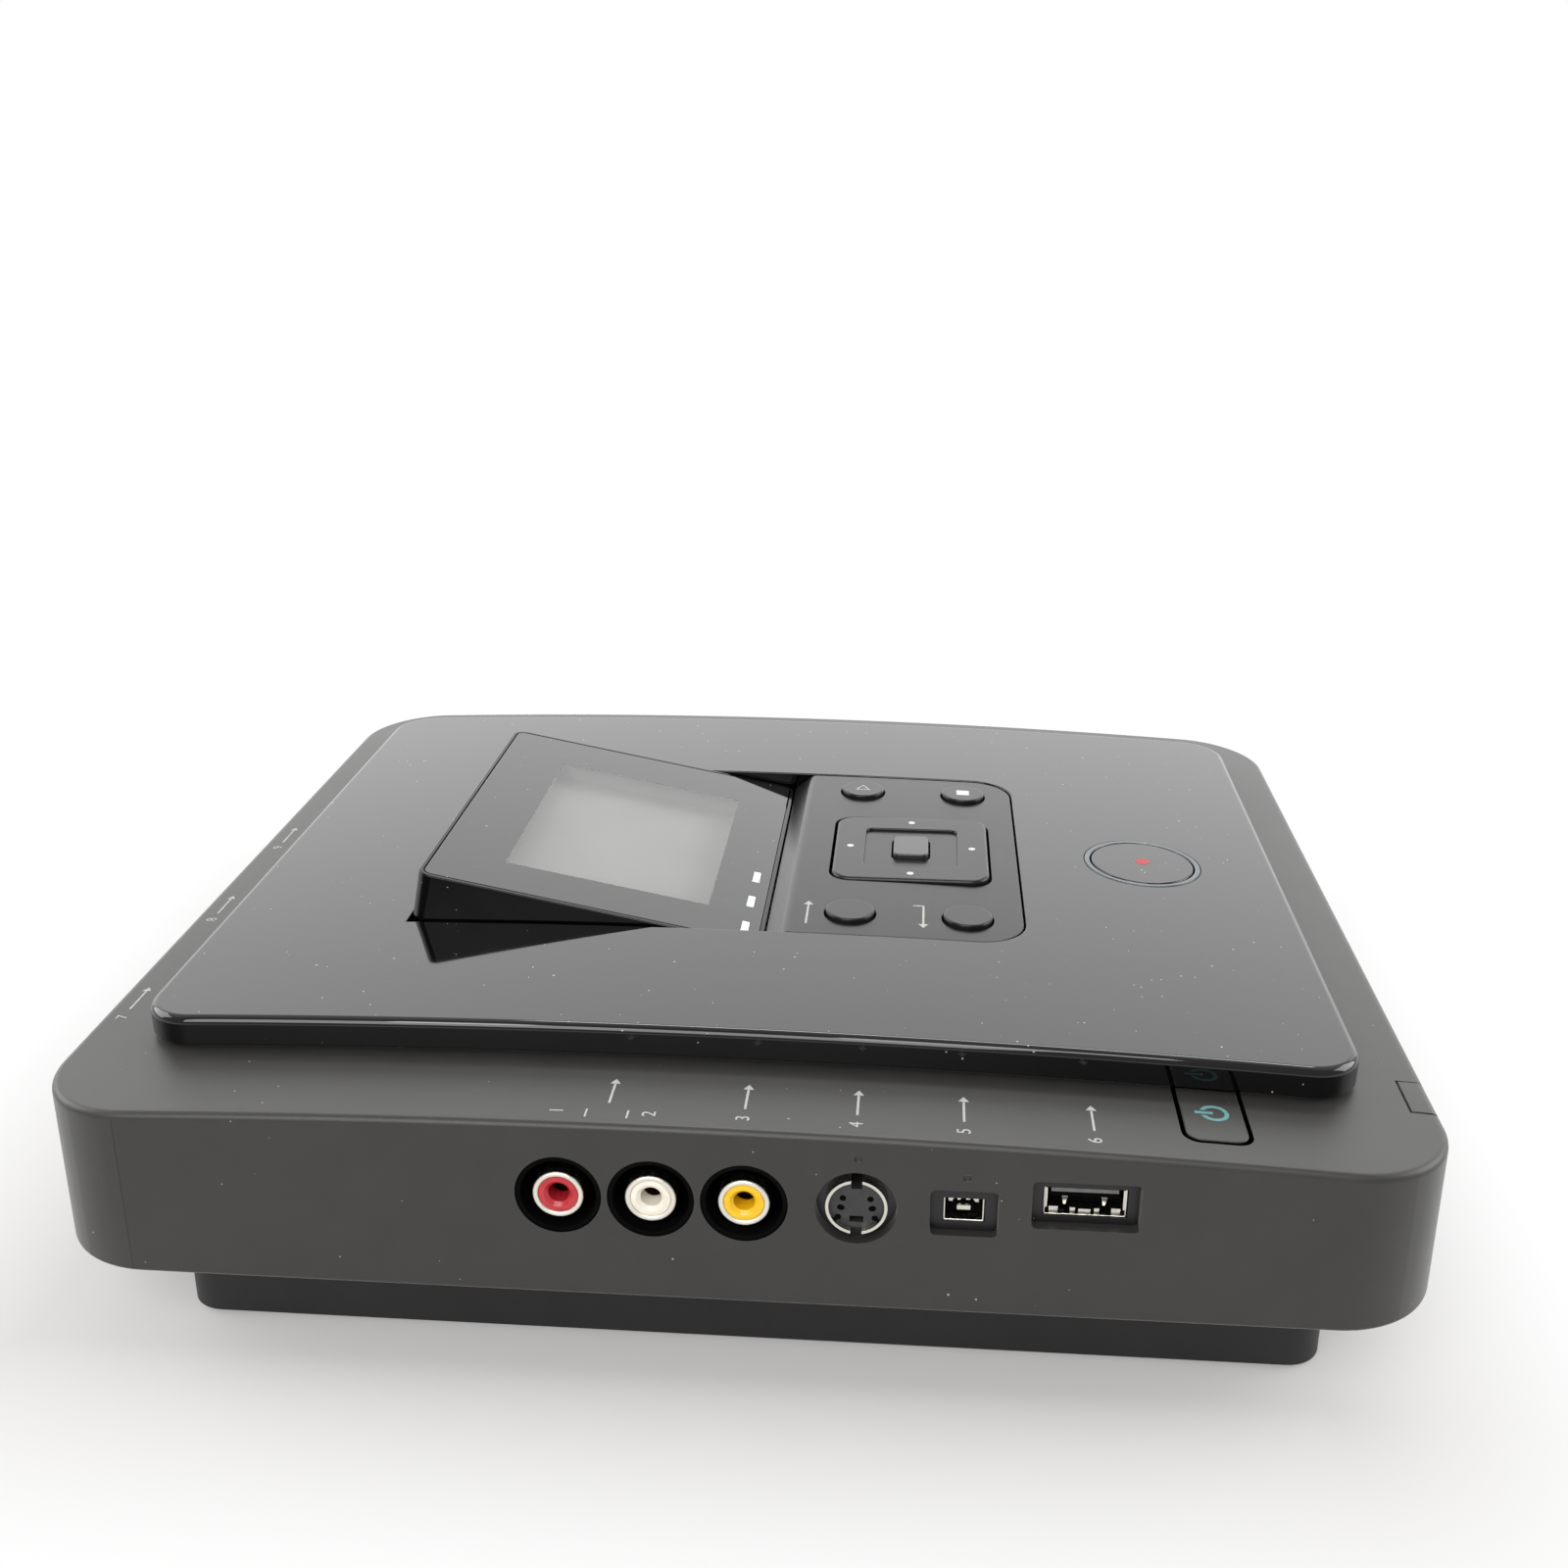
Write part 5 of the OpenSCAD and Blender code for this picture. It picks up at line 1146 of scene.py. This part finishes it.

# Painted shade: thin black discs at the mouths of the round video socket's holes stand for the shade inside
# them.
HOLE_SHADE_X = FACE + 1.46
pins = []
for y, z in ((2.2, 0.9), (-2.2, 0.9), (2.6, -0.8), (-2.6, -0.8), (2.95, -2.6), (-2.95, -2.6)):
    y, z = SVIDEO_Y + y, JACK_Z + z
    pin = start_drum("pin", 0.52, (HOLE_SHADE_X, y, z), (FACE + 1.55, y, z), 24)
    pins.append(round_edges(pin, lambda m, d: m.x < HOLE_SHADE_X + HAIR, 0.03, 1))
pin_sleeves = join(*pins, name="round_video_pin_sleeves")
smooth(pin_sleeves)
paint(pin_sleeves, black_print_and_shade)
hand_over(pin_sleeves, "case", "socket_black")

# %% [markdown]
# ## Inside the digital sockets
# A black liner covers each pocket's floor, and its lip, painted shade, covers the shell's upper and lower
# edge.
# The large socket shows five tabs at its lower edge, two contact springs under a grey tongue and two
# bright cheeks. The small one shows the tip of its tongue and four fingers before a black core. They
# are a few tenths of a millimetre big, so small boxes with rounded edges do.

# %% Liners
LINER_LIP = 0.3
shell_front = {"small": span("dv_shell")[0].x, "large": span("usb_shell")[0].x}
liners = []
# The liner is black socket plastic and painted shade on the pocket floor; its lip is painted shade over the
# shell's edges.
for name, p in POCKETS.items():
    front = shell_front[name]
    liner = beam("liner", front - LINER_LIP, floor_x - 0.02, p["y"], p["z"], p["w"] - 0.1, p["h"] - 0.1)
    round_edges(liner, lengthwise, 0.85, 4)
    room = (p["y"], p["mouth_z"], p["shell_w"] + 0.1)
    carve(liner, beam("shell_room", front - 0.02, floor_x + 1, *room, p["shell_h"] + 0.1))
    carve(liner, beam("view", front - 2, floor_x + 1, *room, p["shell_h"] - p["cover"]))
    liners.append(liner)
liner = join(*liners, name="socket_liners_and_painted_shade")
smooth(liner)
hand_over(liner, "case", "socket_black")

# %% Contacts and springs
LARGE_X, LARGE_Y, LARGE_Z = shell_front["large"], POCKETS["large"]["y"], POCKETS["large"]["mouth_z"]
SMALL_X, SMALL_Y, SMALL_Z = shell_front["small"], POCKETS["small"]["y"], POCKETS["small"]["mouth_z"]
TAB_FOOT = LARGE_Z - POCKETS["large"]["shell_h"] / 2 + 0.42


def chip(name, x, y, z, wide, radius):
    """A small box of a width, between two values of x and of z, with all its edges rounded."""
    obj = start_box(name, (x[0], y - wide / 2, z[0]), (x[1], y + wide / 2, z[1]))
    return round_edges(obj, everything, radius, 2)


springs = []
for y, wide, tall in ((-4.9, 1.5, 1.2), (-1.9, 0.9, 1.1), (0, 2.0, 0.9), (1.9, 0.9, 1.1), (4.9, 1.5, 1.2)):
    springs.append(chip("tab", (LARGE_X + 0.2, LARGE_X + 0.7), LARGE_Y + y,
                        (TAB_FOOT, TAB_FOOT + tall), wide, 0.12))
for offset in (-3.1, 3.1):
    y = LARGE_Y + offset
    spring = start_box("contact", (LARGE_X + 1.0, y - 0.5, LARGE_Z + 0.1),
                       (LARGE_X + 1.25, y + 0.5, LARGE_Z + 0.5))
    pull(spring, faces_down, (0.35, 0, -1.7))
    # Narrows the spring's end
    pick(spring, "FACE", lambda m, n: n.z < -0.5 and m.z < LARGE_Z - 1)
    bpy.ops.transform.resize(value=(1, 0.4, 1), center_override=Vector((0, y, LARGE_Z)) * MM)
    put_down()
    springs.append(round_edges(spring, everything, 0.06, 2))
springs.append(chip("tip", (SMALL_X + 0.6, SMALL_X + 1.15), SMALL_Y,
                    (SMALL_Z - 0.6, SMALL_Z + 0.3), 2.2, 0.1))
for y, wide in ((-2.0, 0.9), (-0.7, 0.7), (0.7, 0.7), (2.0, 0.9)):
    springs.append(chip("finger", (SMALL_X + 1.6, SMALL_X + 2.15), SMALL_Y + y,
                        (SMALL_Z + 0.25, SMALL_Z + 1.1), wide, 0.1))
for y in (-6.2, 6.2):
    springs.append(chip("cheek", (LARGE_X + 0.05, LARGE_X + 0.5), LARGE_Y + y,
                        (LARGE_Z - 1.5, LARGE_Z + 2.2), 0.6, 0.12))
spring_set = join(*springs, name="digital_springs")
smooth(spring_set)
hand_over(spring_set, "case", "nickel")

# %% Cores and tongue bar


def digital_core(name, front, back, y, z, size, room, slot):
    """A socket's back wall, with room for its tongue, given by its rise, width and height, and a slot
    for its springs, given by its depth, rise, width and height."""
    core = beam(name, *back, y, z, *size)
    carve(core, beam("tongue_room", front, back[1] + 3, y, z + room[0], *room[1:]))
    carve(core, beam("slot", front, front + slot[0], y, z + slot[1], *slot[2:]))
    smooth(core)
    paint(core, black_print_and_shade)
    hand_over(core, "case", "socket_black")


digital_core("small_digital_core", SMALL_X, (SMALL_X + 2.2, SMALL_X + 6), SMALL_Y, SMALL_Z,
             size=(5.7, 3.7), room=(-0.2, 3.5, 1.4), slot=(3, 1.2, 4.2, 0.5))
digital_core("large_digital_core", LARGE_X, (LARGE_X + 3.5, LARGE_X + 9), LARGE_Y, LARGE_Z,
             size=(12.2, 4.8), room=(0.9, 11.2, 1.9), slot=(5, -1.2, 9, 0.5))
# The tongue's own grey shows only on this bar at its front; the rest of the tongue is painted black as
# shade.
bar = chip("tongue_bar", (LARGE_X + 0.85, LARGE_X + 0.99), LARGE_Y,
           (LARGE_Z + 1.0, LARGE_Z + 1.7), 10.6, 0.05)
smooth(bar)
paint(bar, tongue_nylon)
hand_over(bar, "case", "socket_black")

# %% [markdown]
# ## Printed marks
# The strips carry plain numerals and arrows, one number for each socket, and the keys have the
# usual play, stop and standby signs. Marks could be drawn in a material, but a sheet of ink a few
# hundredths of a millimetre thick has crisp edges from any distance, so each mark is laid on the
# crowned surface as its own thin mesh.

# %% Marks as thin sheets
INK = 0.03


def numeral(text, size, x, y):
    put_down()
    bpy.ops.object.text_add()
    obj = bpy.context.object
    obj.data.body = text
    obj.data.size = size * MM
    obj.data.extrude = INK / 2 * MM
    obj.data.align_x = "CENTER"
    obj.data.align_y = "CENTER"
    bpy.ops.object.convert(target="MESH")
    obj = bpy.context.object
    obj.location = (x * MM, y * MM, INK / 2 * MM)
    return settle(obj)


def dash(x0, y0, x1, y1):
    return rounded_block("dash", (x0, y0, 0), (x1, y1, INK), 0.12, 2)


def triangle(x, y, radius, turn):
    """A three-sided sheet that points along a turn in degrees from +X."""
    put_down()
    bpy.ops.mesh.primitive_cylinder_add(vertices=3, radius=radius * MM, depth=INK * MM,
                                        location=(x * MM, y * MM, INK / 2 * MM),
                                        rotation=(0, 0, math.radians(turn - 90)))
    return round_edges(settle(bpy.context.object), upright, 0.08, 2)


def disc(name, x, y, radius, sides, low=0, high=INK):
    return start_drum(name, radius, (x, y, low), (x, y, high), sides)


def dot(x, y, radius):
    return round_edges(disc("dot", x, y, radius, 32), lambda m, d: m.z > INK - 0.001, 0.01, 1)


def lay(name, rise, ink, body, slot, *marks, flat=False):
    """Joins marks into one print and lays it on the crown at a rise, or flat at a height."""
    obj = join(*marks, name=name)
    for point in obj.data.vertices:
        drop = CASE_TOP if flat else crown_drop(point.co.y / MM)
        point.co.z += (rise - drop) * MM + CASE_TOP * MM
    pick(obj, "FACE", everything)
    bpy.ops.mesh.remove_doubles(threshold=0.001 * MM)
    bpy.ops.mesh.normals_make_consistent(inside=False)
    put_down()
    paint(obj, inks[ink])
    hand_over(obj, body, slot)


print("mark helpers ready, ink of", INK, "mm")

# %% Marks on the strips and panel
LEFT_STRIP_X, REAR_STRIP_Y = -99.4, 112
strip = []
for number, y in (("1", 26.9), ("2", 12.0), ("3", -3.0), ("4", -21.0), ("5", -38.0), ("6", -58.5)):
    strip.append(numeral(number, 3.2, LEFT_STRIP_X, y))
for y in (22.2, 15.5):
    strip.append(dash(-101, y - 0.15, -98.6, y + 0.15))
for y in (19.0, -3.0, -21.0, -38.0, -58.5):
    strip.append(dash(-96.6, y - 0.2, -90.6, y + 0.2))
    strip.append(triangle(-90, y, 1.0, 0))
for number, x in (("7", -70.5), ("8", -29), ("9", 9)):
    strip.append(numeral(number, 3.0, x, REAR_STRIP_Y))
    strip.append(dash(x + 3, REAR_STRIP_Y - 0.2, x + 10, REAR_STRIP_Y + 0.2))
    strip.append(triangle(x + 10.6, REAR_STRIP_Y, 1.0, 0))
lay("strip_marks", 0.0, "grey", "case", "white_plastic", *strip)
lay("panel_marks", PANEL_RISE, "grey", "case", "white_plastic",
    dash(-38.5, -8.9, -30, -8.5), triangle(-29.4, -8.7, 1.1, 0),
    dash(-36.5, -31.2, -28, -30.8), triangle(-37, -31, 1.1, 180), dash(-28.4, -31.2, -28, -29))

# %% Signs on the moving keys
play_x, play_y = KEYS["play"]
lay("play_mark", KEY_RISE, "grey", "play", "white_plastic",
    carve(triangle(play_x, play_y, 2.0, 0), triangle(play_x, play_y, 1.35, 0)))
lay("stop_mark", KEY_RISE, "white", "stop", "white_plastic",
    rounded_block("sign", (31.6, -40.9, 0), (34.4, -38.1, INK), 0.2, 2))
lay("pad_marks", PAD_TOP, "white", "pad", "white_plastic",
    dot(0, PAD_Y - 12.7, 0.7), dot(0, PAD_Y + 12.7, 0.7), dot(-13.8, PAD_Y, 0.7), dot(13.8, PAD_Y, 0.7),
    flat=True)
lay("record_mark", RECORD_RISE, "red", "record", "red_plastic", dot(0.7, -76.4, 1.5))
STANDBY = (-88.6, -78.4)
standby = carve(disc("ring", *STANDBY, 2.35, 48), disc("middle", *STANDBY, 1.65, 48, -1, 1))
carve(standby, start_box("gap", (-89.4, -77.4, -1), (-87.8, -75, 1)))
lay("standby_mark", 0.15, "teal", "power", "white_plastic", standby, dash(-88.95, -78.2, -88.25, -75.2))

# %% [markdown]
# ## The stage
# The picture is a plain studio shot on a pale sweep. The floor keeps the object's soft shadow close
# to it and fades to white further off, for the camera and for reflections only, so that it throws no
# extra light on the object. A broad soft box behind gives the lid its pale sheen, one on the camera's
# side lights the sockets, and two at the ends round off the case's corners. Three narrow strips above
# light gloss alone: they draw the lines along the lid's and the case's upper edges.

# %% Floor


def any_ray(tree, path, first, *others):
    """One for a ray of any of the named kinds."""
    seen = path.outputs[first]
    for kind in others:
        seen = add_node(tree, "ShaderNodeMath", {"operation": "MAXIMUM"},
                        {0: seen, 1: path.outputs[kind]}).outputs["Value"]
    return seen


put_down()
bpy.ops.mesh.primitive_plane_add(size=8, location=(1, 0, 0))
floor = bpy.context.object
floor.name = "studio_floor"
settle(floor)
sweep, tree, shader, place = start_material("pale_sweep", "#dad7d5", 0.9)
mottle(tree, shader, place, "#d9d6d4", "#dcd9d7", 300)
# The floor is greyest under the object and whitens over the first five centimetres round its foot
FOOT_HALF, FOOT_MIDDLE = (0.0985, 0.111, 0), (0, 0.012, 0)
away = place
for operation, operand in (("SUBTRACT", FOOT_MIDDLE), ("ABSOLUTE", (0, 0, 0)),
                           ("SUBTRACT", FOOT_HALF), ("MAXIMUM", (0, 0, 0))):
    away = add_node(tree, "ShaderNodeVectorMath", {"operation": operation, 1: operand},
                    {0: away}).outputs["Vector"]
distance = add_node(tree, "ShaderNodeVectorMath", {"operation": "LENGTH"}, {0: away})
fade = add_node(tree, "ShaderNodeMapRange",
                {"From Min": 0.0, "From Max": 0.05, "To Min": 0.2, "To Max": 1.0},
                {"Value": distance.outputs["Value"]})
path = add_node(tree, "ShaderNodeLightPath")
seen = any_ray(tree, path, "Is Camera Ray", "Is Glossy Ray", "Is Transmission Ray")
share = add_node(tree, "ShaderNodeMath", {"operation": "MULTIPLY"}, {0: seen, 1: fade.outputs["Result"]})
white = add_node(tree, "ShaderNodeEmission", {"Color": linear("#ffffff"), "Strength": 1.0})
blend = add_node(tree, "ShaderNodeMixShader", {},
                 {0: share.outputs["Value"], 1: shader.outputs["BSDF"], 2: white.outputs["Emission"]})
tree.links.new(blend.outputs["Shader"], tree.nodes["Material Output"].inputs["Surface"])
paint(floor, sweep)
print("floor of", len(tree.nodes), "nodes")

# %% Room
# Mirrors see the white sweep behind the object and a darker room on the camera's side
AMBIENT, ROOM_SHARE = 0.45, 0.45
world = bpy.data.worlds.new("studio")
bpy.context.scene.world = world
world.use_nodes = True
tree = world.node_tree
bright = tree.nodes["Background"]
bright.inputs["Color"].default_value = linear("#ffffff")
path = add_node(tree, "ShaderNodeLightPath")
heading = add_node(tree, "ShaderNodeSeparateXYZ", {},
                   {"Vector": add_node(tree, "ShaderNodeTexCoord").outputs["Generated"]})
sweep_side = add_node(tree, "ShaderNodeMapRange",
                      {"From Min": -0.3, "From Max": 0.3, "To Min": ROOM_SHARE, "To Max": 1.0},
                      {"Value": heading.outputs["X"]})
mirrored = add_node(tree, "ShaderNodeMix", {"data_type": "FLOAT", 2: AMBIENT},
                    {0: path.outputs["Is Glossy Ray"], 3: sweep_side.outputs["Result"]})
seen = any_ray(tree, path, "Is Camera Ray", "Is Transmission Ray")
level = add_node(tree, "ShaderNodeMix", {"data_type": "FLOAT", 3: 1.0}, {0: seen, 2: mirrored.outputs[0]})
tree.links.new(level.outputs[0], bright.inputs["Strength"])
tree.links.new(bright.outputs["Background"], tree.nodes["World Output"].inputs["Surface"])
print("room of", len(tree.nodes), "nodes")

# %% Soft boxes


def soft_box(name, place, aim, wide, high, radiance, sheen_only=False):
    """An area lamp that faces a point; its power follows from the brightness of its face.
    With sheen_only it lights gloss and leaves the matt part of a surface alone."""
    put_down()
    direction = Vector(aim) - Vector(place)
    bpy.ops.object.light_add(type="AREA", location=place,
                             rotation=direction.to_track_quat("-Z", "Y").to_euler())
    lamp = bpy.context.object
    lamp.name = name
    lamp.data.shape = "RECTANGLE"
    lamp.data.size = wide
    lamp.data.size_y = high
    lamp.data.energy = radiance * math.pi * wide * high
    lamp.visible_camera = False
    lamp.visible_diffuse = not sheen_only
    print(name, round(lamp.data.energy, 2), "W")


soft_box("box_behind", (1.3, 0.1, 0.55), (0, 0, 0.05), 3.6, 1.1, 1.0)
soft_box("strip_high_behind", (0.9, -0.1, 1.5), (0, 0, 0.05), 1.1, 0.25, 10, True)
soft_box("strip_over_camera", (-0.75, -0.165, 1.1), (0, -0.165, 0.05), 0.34, 0.3, 6, True)
soft_box("strip_over_left", (-0.75, 0.395, 1.1), (0, 0.395, 0.05), 0.15, 0.3, 7, True)
soft_box("box_camera_side", (-1.1, 0.3, 0.9), (0, 0, 0.03), 1.0, 0.8, 4.5)
soft_box("box_front_end", (0.2, -1.2, 0.6), (0, 0, 0.03), 0.9, 0.8, 3.9)
soft_box("box_rear_end", (0.2, 1.2, 0.6), (0, 0, 0.03), 0.9, 0.8, 3.3)

# %% Camera
# The place, turn and lens come from fitting the case's corners to the photograph.
CAMERA_PLACE = (-0.3381, -0.02875, 0.1970)
CAMERA_TILT, CAMERA_HEADING = 69.5, -85.39
put_down()
bpy.ops.object.camera_add(location=CAMERA_PLACE,
                          rotation=(math.radians(CAMERA_TILT), 0, math.radians(CAMERA_HEADING)))
camera = bpy.context.object
camera.data.lens = 39.94
camera.data.sensor_width = 36
camera.data.clip_start = 0.01
bpy.context.scene.camera = camera
bpy.context.scene.view_settings.view_transform = "Standard"
print("camera with a lens of", camera.data.lens, "mm")
